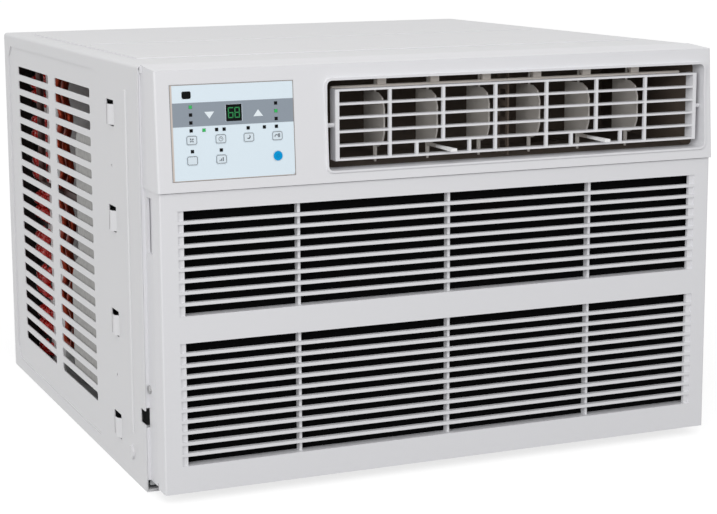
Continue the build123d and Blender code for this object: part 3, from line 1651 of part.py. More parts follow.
def top_brace():
    """Strap that ties the bulkhead's top to the condenser."""
    return block(-brace_width / 2, brace_width / 2, back(bulkhead_front),
                 back(condenser_front + condenser_thickness), bulkhead_top_z + seat_gap,
                 bulkhead_top_z + seat_gap + brace_thickness)


NODES = {
    "cabinet_shell": cabinet_shell,
    "cabinet_floor": cabinet_floor,
    "base_pan": base_pan,
    "front_bezel": front_bezel,
    "intake_grille": intake_grille,
    "air_filter": air_filter,
    "louver_frame": louver_frame,
    "vane_link_left": lambda: vane_link(0),
    "vane_link_right": lambda: vane_link(1),
    "outlet_duct": outlet_duct,
    "control_overlay": control_overlay,
    "indicator_lenses": indicator_lenses,
    "display_window": display_window,
    "receiver_window": receiver_window,
    "control_board": control_board,
    "control_box": control_box,
    "blower_scroll": blower_scroll,
    "blower_wheel": blower_wheel,
    "condenser_fan": condenser_fan,
    "motor_shaft": motor_shaft,
    "fan_motor": fan_motor,
    "motor_bracket": motor_bracket,
    "bulkhead": bulkhead,
    "fan_shroud": fan_shroud,
    "evaporator_fins": evaporator_fins,
    "evaporator_end_plates": evaporator_end_plates,
    "evaporator_tubes": evaporator_tubes_node,
    "drain_tray": drain_tray,
    "condenser_fins": condenser_fins,
    "condenser_end_plates": condenser_end_plates,
    "condenser_tubes": condenser_tubes_node,
    "compressor": compressor,
    "compressor_grommets": compressor_grommets,
    "accumulator": accumulator,
    "discharge_pipe": discharge_pipe,
    "suction_pipe": suction_pipe,
    "liquid_pipe": liquid_pipe,
    "filter_drier": filter_drier,
    "capillary_pipe": capillary_pipe,
    "run_capacitor": run_capacitor,
    "panel_screws": panel_screws,
    "side_screws": side_screws,
    "top_brace": top_brace,
}


def main():
    os.makedirs("parts", exist_ok=True)
    for name, build in NODES.items():
        export_step(build(), f"parts/{name}.step")
    for number in range(vane_count):
        export_step(vane(number), f"parts/vane_{number + 1}.step")
    for name in key_shapes():
        export_step(control_key(name), f"parts/{name}.step")


main()
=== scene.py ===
import math

import bpy
from bpy.props import FloatProperty, FloatVectorProperty, IntProperty, PointerProperty
from mathutils import Matrix, Vector


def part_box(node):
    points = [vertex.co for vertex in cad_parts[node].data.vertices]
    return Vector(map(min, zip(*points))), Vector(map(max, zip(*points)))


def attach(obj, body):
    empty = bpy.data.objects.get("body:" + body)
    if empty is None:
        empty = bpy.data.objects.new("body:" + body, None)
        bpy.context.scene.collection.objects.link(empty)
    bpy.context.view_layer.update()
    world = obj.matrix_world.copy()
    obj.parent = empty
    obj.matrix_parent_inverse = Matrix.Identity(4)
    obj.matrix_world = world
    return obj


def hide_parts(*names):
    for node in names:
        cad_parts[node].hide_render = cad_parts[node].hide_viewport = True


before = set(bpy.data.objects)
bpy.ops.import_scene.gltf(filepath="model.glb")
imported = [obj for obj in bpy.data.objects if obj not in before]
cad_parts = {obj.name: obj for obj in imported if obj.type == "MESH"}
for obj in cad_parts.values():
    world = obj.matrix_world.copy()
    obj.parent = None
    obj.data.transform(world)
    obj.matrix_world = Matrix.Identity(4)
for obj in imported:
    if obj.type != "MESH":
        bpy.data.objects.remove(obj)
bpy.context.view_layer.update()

bl_info = {
    "name": "Window air conditioner looks",
    "version": (1, 0, 0),
    "blender": (4, 5, 0),
    "location": "View3D > Sidebar > Air conditioner",
    "description": "Finishes, label print, coil bends and a studio for a window air conditioner",
    "category": "Object",
}

MM = 0.001
SKIN = 0.06 * MM              # print stands this far off the surface that carries it
SPANGLE = 6.0                 # crystals of a zinc coat, in mm
VANES = [f"vane_{n}" for n in range(1, 7)]


# ---------- small tools
def linear(hex_colour):
    """sRGB hex text, such as #D9D9DB, as linear red, green, blue and alpha."""
    values = [int(hex_colour[i:i + 2], 16) / 255 for i in (1, 3, 5)]
    values = [v / 12.92 if v <= 0.04045 else ((v + 0.055) / 1.055) ** 2.4 for v in values]
    return (*values, 1.0)


def add_node(tree, kind, inputs, **settings):
    """One shader node. An input is a value or a socket to link; a setting is an attribute."""
    node = tree.nodes.new(kind)
    for key, value in settings.items():
        setattr(node, key, value)
    for key, value in inputs.items():
        if isinstance(value, bpy.types.NodeSocket):
            tree.links.new(value, node.inputs[key])
        else:
            node.inputs[key].default_value = value
    return node


def blank_material(name):
    """Material with an empty tree, and that tree."""
    material = bpy.data.materials.new(name)
    material.use_nodes = True
    material.node_tree.nodes.clear()
    return material, material.node_tree


def lay_surface(tree, inputs):
    """Principled surface with these inputs, joined to the tree's output."""
    surface = add_node(tree, "ShaderNodeBsdfPrincipled", inputs)
    add_node(tree, "ShaderNodeOutputMaterial", {"Surface": surface.outputs[0]})


def place_of(tree):
    """Coordinates in metres that stay with the piece."""
    return tree.nodes.new("ShaderNodeTexCoord").outputs["Object"]


def place_along(tree, axis):
    """One of those coordinates."""
    return add_node(tree, "ShaderNodeSeparateXYZ", {0: place_of(tree)}).outputs[axis]


def cloud(tree, size, detail):
    """Soft random pattern, its size in mm."""
    return add_node(tree, "ShaderNodeTexNoise",
                    {"Vector": place_of(tree), "Scale": 1.0 / (size * MM),
                     "Detail": detail}).outputs["Fac"]


def reckon(tree, operation, *values):
    """Result of one sum on values or sockets."""
    inputs = dict(enumerate(values))
    return add_node(tree, "ShaderNodeMath", inputs, operation=operation).outputs[0]


def blend(tree, share, first, second):
    """Colour between two others."""
    inputs = {0: share, 6: first, 7: second}
    return add_node(tree, "ShaderNodeMix", inputs, data_type="RGBA").outputs[2]


def dimmed(colour, share):
    """The same colour at a share of its strength."""
    return tuple(c * share for c in colour[:3]) + (1.0,)


def finish(name, colour, roughness, metallic=0.0, grain=0.0, grain_size=1.0, mottle=0.0,
           mottle_size=110.0, coat=0.0, ior=1.5, shine=0.5):
    """Surface with an optional fine grain and a mottle of its colour, their sizes in mm.

    Shine is the strength of the mirror-like part: 0.5 is a bare surface, less is anti-glare.
    """
    material, tree = blank_material(name)
    base = linear(colour) if isinstance(colour, str) else tuple(colour)
    inputs = {"Base Color": base, "Roughness": roughness, "Metallic": metallic,
              "Coat Weight": coat, "Coat Roughness": 0.15, "Specular IOR Level": shine}
    if not metallic:
        inputs["IOR"] = ior
    if mottle:
        inputs["Base Color"] = blend(tree, cloud(tree, mottle_size, 3.0),
                                     dimmed(base, 1 - mottle), base)
    if grain:
        bump = add_node(tree, "ShaderNodeBump",
                        {"Height": cloud(tree, grain_size, 2.0), "Strength": grain,
                         "Distance": 0.1 * MM})
        inputs["Normal"] = bump.outputs["Normal"]
    lay_surface(tree, inputs)
    return material


def part_painted(name, colour, paint, roughness, start, dulling=0.65):
    """Spangled surface that turns to another colour past a place in mm along Y."""
    material, tree = blank_material(name)
    past = reckon(tree, "GREATER_THAN", place_along(tree, "Y"), start * MM)
    bare = linear(colour)
    sheet = blend(tree, cloud(tree, SPANGLE, 3.0), dimmed(bare, dulling), bare)
    # In both uses here, the colour past the place is painted shade.
    lay_surface(tree, {"Base Color": blend(tree, past, sheet, linear(paint)),
                       "Roughness": roughness})
    return material


def finned(name, colour, gap_shade, pitch, share=0.28):
    """Edge-on metal fins along X, pitch in mm: bright edges take this share, and the gaps between
    them, dark with painted shade, the rest.
    """
    material, tree = blank_material(name)
    saw = reckon(tree, "FRACT", reckon(tree, "DIVIDE", place_along(tree, "X"), pitch * MM))
    edge = reckon(tree, "LESS_THAN", saw, share)
    lay_surface(tree, {"Base Color": blend(tree, edge, linear(gap_shade), linear(colour)),
                       "Roughness": 0.5, "Metallic": 0.4})
    return material


def glowing(name, colour, strength):
    """Lit segment or lamp behind a lens."""
    material, tree = blank_material(name)
    lay_surface(tree, {"Base Color": linear(colour), "Roughness": 0.3,
                       "Emission Color": linear(colour), "Emission Strength": strength})
    return material


def material_of(node):
    """First material of a CAD node."""
    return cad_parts[node].data.materials[0]


def dress(nodes, material):
    """Gives CAD nodes one material."""
    for name in nodes:
        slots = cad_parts[name].data.materials
        slots.clear()
        slots.append(material)


def settle(piece, body):
    """Makes a new piece follow its body."""
    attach(piece, body)
    return piece


def merged(parts):
    """Points and faces of several solids or sheets as one list of each."""
    points, faces = [], []
    for its_points, its_faces in parts:
        faces += [tuple(len(points) + k for k in face) for face in its_faces]
        points += its_points
    return points, faces


def mesh_piece(name, points, faces, material):
    """New object from points and faces."""
    mesh = bpy.data.meshes.new(name)
    mesh.from_pydata([tuple(p) for p in points], [], faces)
    mesh.update()
    mesh.materials.append(material)
    piece = bpy.data.objects.new(name, mesh)
    bpy.context.collection.objects.link(piece)
    return piece


def blocks_piece(name, boxes, material):
    """Separate straight blocks, each given by its lowest and highest corners in mm."""
    sides = ((0, 2, 3, 1), (4, 5, 7, 6), (0, 1, 5, 4), (2, 6, 7, 3), (0, 4, 6, 2), (1, 3, 7, 5))
    parts = [([(x * MM, y * MM, z * MM) for z in (low[2], high[2]) for y in (low[1], high[1])
               for x in (low[0], high[0])], sides) for low, high in boxes]
    return mesh_piece(name, *merged(parts), material)


def bar_along_x(x0, x1, section, inward=False):
    """Points and faces of a bar between two places in mm, its section in depth and height.

    A section listed the other way round needs inward, so that its faces still look outwards.
    """
    count = len(section)
    points = [(x * MM, front_depth(d) * MM, z * MM) for x in (x0, x1) for d, z in section]
    faces = [tuple(range(count)), tuple(range(2 * count - 1, count - 1, -1))]
    faces += [((k + 1) % count, k, count + k, count + (k + 1) % count) for k in range(count)]
    return points, [face[::-1] for face in faces] if inward else faces


def tube_piece(name, routes, radius, material):
    """Round tubes along lists of points, already rounded at their corners."""
    curve = bpy.data.curves.new(name, "CURVE")
    curve.dimensions = "3D"
    curve.bevel_depth = radius
    curve.bevel_resolution = 4
    curve.use_fill_caps = True
    for route in routes:
        spline = curve.splines.new("POLY")
        spline.points.add(len(route) - 1)
        for point, place in zip(spline.points, route):
            point.co = (*place, 1.0)
    curve.materials.append(material)
    piece = bpy.data.objects.new(name, curve)
    bpy.context.collection.objects.link(piece)
    return piece


def rounded_route(corners, radius, steps=8):
    """Points along straight runs whose corners are arcs of this radius."""
    corners = [Vector(c) for c in corners]
    route = [corners[0]]
    for before, corner, after in zip(corners, corners[1:], corners[2:]):
        back = (before - corner).normalized()
        ahead = (after - corner).normalized()
        reach = min(radius, (before - corner).length * 0.49, (after - corner).length * 0.49)
        for step in range(steps + 1):
            turn = step / steps
            start = corner + back * reach * (1 - turn)
            end = corner + ahead * reach * turn
            route.append(start.lerp(end, turn))
    route.append(corners[-1])
    return route


# ---------- the label's own plane
def label_frame():
    """Middle, right, up and outward directions of the control label's face."""
    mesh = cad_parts["control_overlay"].data
    faces = [p for p in mesh.polygons if p.normal.y < -0.9]
    outward = faces[0].normal.copy()
    right = Vector((1, 0, 0))
    up = outward.cross(right)
    if up.z < 0:
        up = -up
    points = [mesh.vertices[i].co for p in faces for i in p.vertices]
    front = max(p.dot(outward) for p in points)
    across = [p.dot(right) for p in points]
    along = [p.dot(up) for p in points]
    middle = (right * (min(across) + max(across)) / 2 + up * (min(along) + max(along)) / 2
              + outward * front)
    return middle, right, up, outward


def on_label(x, up_mm, lift=1.0):
    """Place in metres of a point given in mm from the middle of the label."""
    middle, right, up, outward = LABEL
    return middle + right * x * MM + up * up_mm * MM + outward * SKIN * lift


LABEL = label_frame()


def box_mm(node):
    """Lowest and highest corners of a CAD node, in mm."""
    return [[c / MM for c in corner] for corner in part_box(node)]


def front_depth(depth):
    """Y in mm of a place this far behind the face of the grille."""
    return box_mm("intake_grille")[0][1] + depth


CAP_RAISE = 0.3 * MM          # keys and lamps stand this far above the label
KEY_LIFT = CAP_RAISE / SKIN + 1


def flat_print(name, shapes, material, body="unit", lift=1.0):
    """Flat printed shapes on the label, each a list of corners in mm."""
    parts = [([on_label(x, up, lift) for x, up in shape], [tuple(range(len(shape)))])
             for shape in shapes]
    return settle(mesh_piece(name, *merged(parts), material), body)


def disc(x, up, radius, sides=20):
    return [(x + radius * math.cos(2 * math.pi * k / sides),
             up + radius * math.sin(2 * math.pi * k / sides)) for k in range(sides)]


def bar(x0, x1, y0, y1):
    return [(x0, y0), (x1, y0), (x1, y1), (x0, y1)]


def rounded(x, up, width, height, corner, steps=4):
    """Corners of a rounded rectangle round this middle, anticlockwise from the right side."""
    u, v = width / 2 - corner, height / 2 - corner
    points = []
    for quarter, (sx, sy) in enumerate(((1, 1), (-1, 1), (-1, -1), (1, -1))):
        for step in range(steps + 1):
            angle = math.pi / 2 * (quarter + step / steps)
            points.append((x + sx * u + corner * math.cos(angle),
                           up + sy * v + corner * math.sin(angle)))
    return points


def corner_webs(x, up, width, height, corner, steps=4):
    """The four slivers between a rectangle's square corners and its rounded ones."""
    outline = rounded(x, up, width, height, corner, steps)
    square = [(x + sx * width / 2, up + sy * height / 2)
              for sx, sy in ((1, 1), (-1, 1), (-1, -1), (1, -1))]
    return [[square[quarter], *reversed(outline[quarter * (steps + 1):(quarter + 1) * (steps + 1)])]
            for quarter in range(4)]


def ring(outer, inner):
    """Band between two outlines with as many corners, as four-cornered tiles."""
    count = len(outer)
    return [[outer[k], outer[(k + 1) % count], inner[(k + 1) % count], inner[k]]
            for k in range(count)]


def stroke(points, line):
    """Open line through the points, as tiles of this width."""
    tiles = []
    for (x0, y0), (x1, y1) in zip(points, points[1:]):
        length = math.hypot(x1 - x0, y1 - y0)
        u, v = (y0 - y1) / length * line / 2, (x1 - x0) / length * line / 2
        tiles.append([(x0 - u, y0 - v), (x1 - u, y1 - v), (x1 + u, y1 + v), (x0 + u, y0 + v)])
    return tiles


def arc(x, up, radius, first, last, steps=8):
    """Points round part of a circle, from one angle to another in degrees."""
    angles = [math.radians(first + (last - first) * k / steps) for k in range(steps + 1)]
    return [(x + radius * math.cos(a), up + radius * math.sin(a)) for a in angles]


def frame_bars(x, up, width, height, line):
    """Thin rectangular outline as four bars."""
    u, v = width / 2, height / 2
    return [bar(x - u, x + u, up - v, up - v + line), bar(x - u, x + u, up + v - line, up + v),
            bar(x - u, x - u + line, up - v + line, up + v - line),
            bar(x + u - line, x + u, up - v + line, up + v - line)]


def span_of(node):
    """Width and height of a CAD node along the label, in mm."""
    places = [v.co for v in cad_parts[node].data.vertices]
    spans = [[p.dot(direction) for p in places] for direction in LABEL[1:3]]
    return [(max(span) - min(span)) / MM for span in spans]


def middle_of(node):
    """Middle of a CAD node, in mm from the middle of the label."""
    low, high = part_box(node)
    centre = (Vector(low) + Vector(high)) / 2 - LABEL[0]
    return centre.dot(LABEL[1]) / MM, centre.dot(LABEL[2]) / MM


# ---------- settings
def number(name, description, default, least, most, **unit):
    """Setting for a number, with its unit where it has one."""
    return FloatProperty(name=name, description=description, default=default, min=least,
                         max=most, **unit)


def length(name, description, default, least, most):
    """Setting for a length in metres."""
    return number(name, description, default, least, most, subtype="DISTANCE", unit="LENGTH")


def colour(name, description, default):
    """Colour with an alpha, its default as hex text."""
    return FloatVectorProperty(name=name, description=description, default=linear(default),
                               size=4, min=0, max=1, subtype="COLOR")


class AcFinishSettings(bpy.types.PropertyGroup):
    """Colours of the cabinet and the front."""

    cabinet: colour("Cabinet", "Powder-coated steel", "#DEDEE0")
    front: colour("Front", "Moulded front panel and grille", "#E2E2E5")
    edge: length("Moulded edge", "Round on the edges of the front's mouldings", 0.5 * MM, 0, 0.002)
    pocket: length("Gap end", "Width of the closed pocket at each end of a gap", 6.5 * MM, 0, 0.03)
    sheet: length("Sheet", "Thickness of the cabinet's sheet", 1.2 * MM, 0.0005, 0.003)
    slot_sink: length("Slot field", "How far the slotted field is sunk", 1.4 * MM, 0, 0.005)
    slot_length: length("Slot length", "Length of each side slot", 159 * MM, 0.01, 0.3)
    slot_height: length("Slot height", "Height of each side slot", 10.4 * MM, 0.002, 0.02)
    slot_corner: length("Slot corner", "Radius at the ends of the side slots", 3.0 * MM, 0, 0.005)
    grain: number("Grain", "Strength of the moulded texture", 0.06, 0, 1)


class AcPrintSettings(bpy.types.PropertyGroup):
    """What is printed and lit on the control label."""

    label: colour("Label", "Ground colour of the label", "#E0EEF7")
    band: colour("Band", "Grey band behind the display", "#8D97A2")
    reading: IntProperty(
        name="Reading", description="Number on the display", default=68, min=0, max=99)
    line: number("Line", "Width of printed lines, in mm", 0.5, 0.1, 2)


class AcPipeSettings(bpy.types.PropertyGroup):
    """Copper of the condenser and its pipes."""

    bend_steps: IntProperty(
        name="Bend steps", description="Points along each hairpin", default=12, min=4, max=48)
    fin_pitch: length(
        "Fin pitch", "Spacing of the condenser's fins, drawn coarser than real", 4.0 * MM,
        0.001, 0.05)
    wave: length("Wave", "How far the discharge loop's legs swing to each side", 11 * MM, 0, 0.012)
    squat: number(
        "Squat", "How far a hairpin stands out, against a full half circle", 0.72, 0.3, 1)
    radius: length("Tube radius", "Radius of the coil's tubes", 4.8 * MM, 0.001, 0.02)


class AcStageSettings(bpy.types.PropertyGroup):
    """Floor, lights and camera."""

    sky: number("Surround", "Strength of the even light from all sides", 0.67, 0, 3)
    key: number("Key lamp", "Power of the soft box above the front, in watts", 10.4, 0, 500)
    side: number("Side lamp", "Strength of the soft light from the left", 0.78, 0, 10)
    lens: number("Lens", "Focal length of the camera, in mm", 90.24, 20, 300)


# ---------- operators
class AC_OT_paint_case(bpy.types.Operator):
    """Paints the steel cabinet and its floor"""

    bl_idname = "ac.paint_case"
    bl_label = "Paint the cabinet"

    def execute(self, context):
        looks = context.scene.ac_finish
        # Powder coat on folded steel: satin, with the slight ripple of a baked coat.
        steel = finish("powder-coated steel", looks.cabinet, 0.42, grain=0.05, grain_size=2.5,
                       mottle=0.015)
        dress(["cabinet_shell", "cabinet_floor"], steel)
        return {"FINISHED"}


class AC_OT_paint_front(bpy.types.Operator):
    """Gives the front panel, grille, louvers and vanes their plastics"""

    bl_idname = "ac.paint_front"
    bl_label = "Paint the front"

    LEVER_HIGHLIGHT_DEPTH = 25.5            # depth in mm up to which the lever vanes carry a painted highlight

    def execute(self, context):
        looks = context.scene.ac_finish
        # Moulded ABS: soft sheen broken by a fine spark-eroded texture.
        abs_front = finish("moulded ABS", looks.front, 0.38, grain=looks.grain, grain_size=0.8)
        dress(["front_bezel", "intake_grille", "louver_frame"], abs_front)
        for name in ("front_bezel", "intake_grille", "louver_frame", "cabinet_shell"):
            # Moulded edges are never sharp: a small round gives each one a fine highlight.
            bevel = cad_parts[name].modifiers.new("moulded edge", "BEVEL")
            bevel.width = looks.edge
            bevel.segments = 2
            bevel.limit_method = "ANGLE"
            bevel.angle_limit = math.radians(50)
        # The vanes are the same plastic, painted darker as shade because they stand in the dim
        # outlet.
        dress(VANES + ["vane_link_left", "vane_link_right"],
              finish("vane plastic with painted shade", "#CFCAC4", 0.45))
        # The two vanes with levers: their front edge and lever are painted near white as a painted
        # highlight; behind it they keep the vanes' painted shade.
        dress(["vane_2", "vane_5"],
              part_painted("vane plastic, painted highlight at the levers", "#FAFAFA", "#CFCAC4", 0.4,
                           front_depth(self.LEVER_HIGHLIGHT_DEPTH), dulling=0.95))
        # Woven nylon seen through the slats: dark mesh painted nearly black as shade behind the
        # slats, with no sheen.
        dress(["air_filter"], finish("filter mesh, darkened as painted shade", "#050506", 0.95, shine=0.1))
        return {"FINISHED"}


class AC_OT_paint_inside(bpy.types.Operator):
    """Gives the coils, fans, compressor and sheet metal their finishes"""

    bl_idname = "ac.paint_inside"
    bl_label = "Paint the inside"

    SHADED_REAR_DEPTH = 584           # depth in mm behind which the end plates are painted black as painted shade

    def execute(self, context):
        # Zinc coat: dull grey, half way between a paint and bare metal, with faint spangle.
        zinc = finish("galvanised steel", "#C4C6C8", 0.55, metallic=0.25, mottle=0.12)
        dress(["base_pan", "bulkhead", "motor_bracket", "top_brace", "control_box",
               "evaporator_end_plates"], zinc)
        # Zinc painted paler than bare zinc as painted light for the dim inside, its crystals
        # showing as a grey spangle.
        dress(["fan_shroud"],
              finish("spangled zinc", "#F0F0F0", 0.6, metallic=0.1, mottle=0.35,
                     mottle_size=SPANGLE))
        # The same zinc, painted black over the rear of the coil as painted shade.
        dress(["condenser_end_plates"],
              part_painted("spangled zinc, painted shade at the rear", "#D8D8D8", "#261C1A", 0.6,
                           front_depth(self.SHADED_REAR_DEPTH)))
        dress(["outlet_duct", "blower_scroll", "drain_tray"],
              finish("moulded duct foam", "#6A5E54", 0.85, grain=0.2, grain_size=2.0))
        dress(["blower_wheel", "condenser_fan"], finish("black fan plastic", "#17181A", 0.5))
        dress(["motor_shaft", "panel_screws", "side_screws"],
              finish("ground steel", "#B5B5B5", 0.3, metallic=1.0))
        dress(["fan_motor", "compressor", "accumulator"],
              finish("black enamel on steel", "#131313", 0.35))
        # Fin edges in the aluminium's colour, with painted shade in the gaps between them.
        dress(["evaporator_fins", "condenser_fins"],
              finned("aluminium fins, gaps painted shade", "#B9BCBE", "#1A1A1A", 1.8))
        # Drawn copper, still bright where it leaves the end plates.
        copper = finish("drawn copper", "#B03A12", 0.4, metallic=0.6, mottle=0.6,
                        mottle_size=14.0)
        dress(["evaporator_tubes", "discharge_pipe", "suction_pipe", "capillary_pipe"], copper)
        # Tubes painted dark brown as shade, where they lie in the dark inside.
        dress(["liquid_pipe", "filter_drier"],
              finish("copper darkened as painted shade", "#3A160C", 0.55, metallic=0.3, mottle=0.5,
                     mottle_size=20.0))
        # Red lacquer brushed over the return bends: deep, glossy, with sharp highlights.
        dress(["condenser_tubes"], finish("red lacquer on copper", "#B81A10", 0.25, coat=0.4))
        dress(["compressor_grommets"], finish("moulded rubber", "#0E0E0E", 0.8))
        dress(["run_capacitor"], finish("drawn aluminium can", "#BFC2C4", 0.35, metallic=1.0))
        return {"FINISHED"}


class AC_OT_paint_controls(bpy.types.Operator):
    """Gives the label, keys, windows and board their finishes"""

    bl_idname = "ac.paint_controls"
    bl_label = "Paint the controls"

    def execute(self, context):
        looks = context.scene.ac_print
        dress(["control_overlay"], finish("printed polyester label", looks.label, 0.25, coat=0.3))
        dress(["key_fan", "key_timer", "key_sleep", "key_mode", "key_filter", "key_saver"],
              finish("pale key plastic", "#DCE8F0", 0.3))
        dress(["key_down", "key_up"], finish("white key plastic", "#E9F2F7", 0.3))
        dress(["key_power"], finish("pale power key plastic", "#DCE8F0", 0.3))
        dress(["display_window", "receiver_window"],
              finish("smoked acrylic", "#050808", 0.3, ior=1.49, shine=0.1))
        dress(["indicator_lenses"], finish("dark lamp lens", "#08090B", 0.4, shine=0.1))
        dress(["control_board"], finish("varnished circuit board", "#1C3B23", 0.4))
        return {"FINISHED"}


class AC_OT_print_label(bpy.types.Operator):
    """Prints the label's grey band and edge, and rounds the corners of its windows"""

    bl_idname = "ac.print_label"
    bl_label = "Print the label"

    BAND = (6.3, 30.3)           # foot and top of the grey band, in mm above the middle
    OPENING = (9.0, 8.6)         # half width and half height left free round the display
    LEDGE = (2.3, 0.9, 4.0)      # bare ledge at the left and at the foot, and its right end
    WINDOW_ROUNDS = {"receiver_window": 2.0, "display_window": 1.4}
    WINDOW_MARGIN = 0.4          # the rounds lap past each window by this much in all

    def execute(self, context):
        looks = context.scene.ac_print
        low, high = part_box("control_overlay")
        half = (high[0] - low[0]) / MM / 2
        grey_ink = finish("grey label ink", looks.band, 0.3)
        x, up = middle_of("display_window")
        foot, top = self.BAND
        wide, tall = self.OPENING
        flat_print("label_band", [bar(-half, x - wide, foot, top), bar(x + wide, half, foot, top),
                                  bar(x - wide, x + wide, up + tall, top),
                                  bar(x - wide, x + wide, foot, up - tall)],
                   grey_ink)
        # The label stops short of its recess: the bare ledge shows at the left and foot, printed
        # darker than the front plastic as painted shade.
        width, height = span_of("control_overlay")
        left, foot = -width / 2, -height / 2
        side, sill, end = self.LEDGE
        flat_print("label_ledge", [bar(left, left + side, foot, -foot),
                                   bar(left + side, -left - end, foot, foot + sill)],
                   finish("ledge plastic, darkened as painted shade", "#CFC4BD", 0.5), lift=1.5)
        # Thin shaded line where the label's edge lies in its recess.
        flat_print("label_edge", frame_bars(0, 0, width, height, looks.line * 1.2),
                   finish("label edge shade", "#9A928C", 0.6), lift=2.0)
        # Windows have rounded corners: the label's ground runs across the square ones.
        paints = {"receiver_window": material_of("control_overlay"), "display_window": grey_ink}
        for window, corner in self.WINDOW_ROUNDS.items():
            x, up = middle_of(window)
            wide, tall = (span + self.WINDOW_MARGIN for span in span_of(window))
            flat_print(window + "_corners", corner_webs(x, up, wide, tall, corner),
                       paints[window], lift=1.5)
        return {"FINISHED"}


class AC_OT_print_keys(bpy.types.Operator):
    """Prints an outline and, where it has one, a plain pictogram on each function key, and a blue
    disc and power sign on the power key
    """

    bl_idname = "ac.print_keys"
    bl_label = "Print the keys"

    OUTLINE = (10.8, 8.6, 1.9)   # width, height and corner of each key's outline, in mm
    POWER_RADIUS = 4.95

    def blades(self, x, up, line):
        """Four short blades round a hub."""
        tiles = []
        for turn in range(4):
            angle = math.pi / 2 * turn + math.pi / 4
            across = (math.cos(angle), math.sin(angle))
            side = (-across[1], across[0])
            tiles.append([(x + across[0] * r + side[0] * w, up + across[1] * r + side[1] * w)
                          for r, w in ((0.3, 0.1), (2.2, -0.9), (2.6, 0.2), (1.2, 0.9))])
        return tiles

    def clock(self, x, up, line):
        """Round dial with two hands."""
        return (ring(disc(x, up, 2.4), disc(x, up, 2.4 - line))
                + stroke([(x, up + 1.6), (x, up), (x + 1.1, up)], line))

    def moon(self, x, up, line):
        """Crescent."""
        outer = arc(x - 0.4, up + 0.5, 2.3, -150, 60)
        inner = arc(x - 1.2, up + 1.2, 2.0, -130, 40)
        return [[outer[k], outer[k + 1], inner[k + 1], inner[k]] for k in range(len(outer) - 1)]

    def gust(self, x, up, line):
        """Curl of air beside a small grid."""
        return (stroke(arc(x - 1.1, up - 0.5, 1.6, 200, 30), line * 1.8)
                + [bar(x + 0.6, x + 2.8, up + 1.7 - 1.1 * k, up + 1.7 - 1.1 * k + line)
                   for k in range(4)]
                + [bar(x + 0.6 + 0.9 * k, x + 0.6 + 0.9 * k + line, up - 1.6, up + 1.7 + line)
                   for k in range(3)])

    def steps(self, x, up, line):
        """Three bars of growing height, for the energy saver."""
        return [bar(x - 2.2 + 1.7 * k, x - 1.2 + 1.7 * k, up - 2.0, up - 2.0 + height)
                for k, height in enumerate((1.4, 2.7, 4.0))]

    def execute(self, context):
        looks = context.scene.ac_print
        dark_ink = finish("dark label ink", "#50575F", 0.5)
        signs = {"key_fan": self.blades, "key_timer": self.clock, "key_sleep": self.moon,
                 "key_mode": self.gust, "key_saver": self.steps, "key_filter": None}
        width, height, corner = self.OUTLINE
        for key, sign in signs.items():
            x, up = middle_of(key)
            shapes = ring(rounded(x, up, width, height, corner),
                          rounded(x, up, width - 2 * looks.line, height - 2 * looks.line,
                                  corner - looks.line))
            if sign:
                shapes += sign(x, up, looks.line)
            flat_print(key + "_print", shapes, dark_ink, body=key + "_body",
                       lift=KEY_LIFT)
        x, up = middle_of("key_power")
        flat_print("key_power_print", [disc(x, up, self.POWER_RADIUS, 32)],
                   finish("blue key ink", "#009ADA", 0.4, shine=0.1),
                   body="key_power_body", lift=KEY_LIFT)
        deep_ink = finish("deep blue key ink", "#0B7FB4", 0.5, shine=0.2)
        flat_print("key_power_sign", stroke(arc(x, up, 1.5, 120, 420, 12), looks.line)
                   + stroke([(x, up + 0.2), (x, up + 2.0)], looks.line), deep_ink,
                   body="key_power_body", lift=KEY_LIFT + 1)
        return {"FINISHED"}


class AC_OT_light_display(bpy.types.Operator):
    """Lights the display's number and the indicator lamps"""

    bl_idname = "ac.light_display"
    bl_label = "Light the display"

    LIT = ((-44.8, 26.0), (-31.3, 2.3), (46.5, 18.1))     # lamps that are lit, in mm
    LAMP = (3.4, 1.0)            # side of a lamp and its corner
    FIGURE = (5.8, 11.0, 1.1)    # width, height and line of a figure
    FIGURE_GAP = 0.6             # from the display's middle to each figure
    SEGMENTS = {0: "abcdef", 1: "bc", 2: "abged", 3: "abgcd", 4: "fgbc", 5: "afgcd",
                6: "afgedc", 7: "abc", 8: "abcdefg", 9: "abcdfg"}

    def digit(self, number, x, up, width, height, line):
        """Seven-segment figure as bars, from its lower left corner."""
        w, h, t = width, height, line
        bars = {"a": bar(x, x + w, up + h - t, up + h), "d": bar(x, x + w, up, up + t),
                "g": bar(x, x + w, up + h / 2 - t / 2, up + h / 2 + t / 2),
                "b": bar(x + w - t, x + w, up + h / 2, up + h),
                "c": bar(x + w - t, x + w, up, up + h / 2),
                "f": bar(x, x + t, up + h / 2, up + h), "e": bar(x, x + t, up, up + h / 2)}
        return [bars[name] for name in self.SEGMENTS[number]]

    def execute(self, context):
        reading = context.scene.ac_print.reading
        x, up = middle_of("display_window")
        width, height, line = self.FIGURE
        low = up - height / 2
        tens, ones = x - width - self.FIGURE_GAP, x + self.FIGURE_GAP
        shapes = self.digit(reading // 10, tens, low, width, height, line)
        shapes += self.digit(reading % 10, ones, low, width, height, line)
        flat_print("display_digits", shapes, glowing("lit green segment", "#0F7A3E", 0.15),
                   lift=2.0)
        side, corner = self.LAMP
        lit = [rounded(lamp_x, lamp_up, side, side, corner) for lamp_x, lamp_up in self.LIT]
        flat_print("lit_lamps", lit, glowing("lit green lamp", "#1FA24B", 0.25),
                   lift=KEY_LIFT)
        return {"FINISHED"}


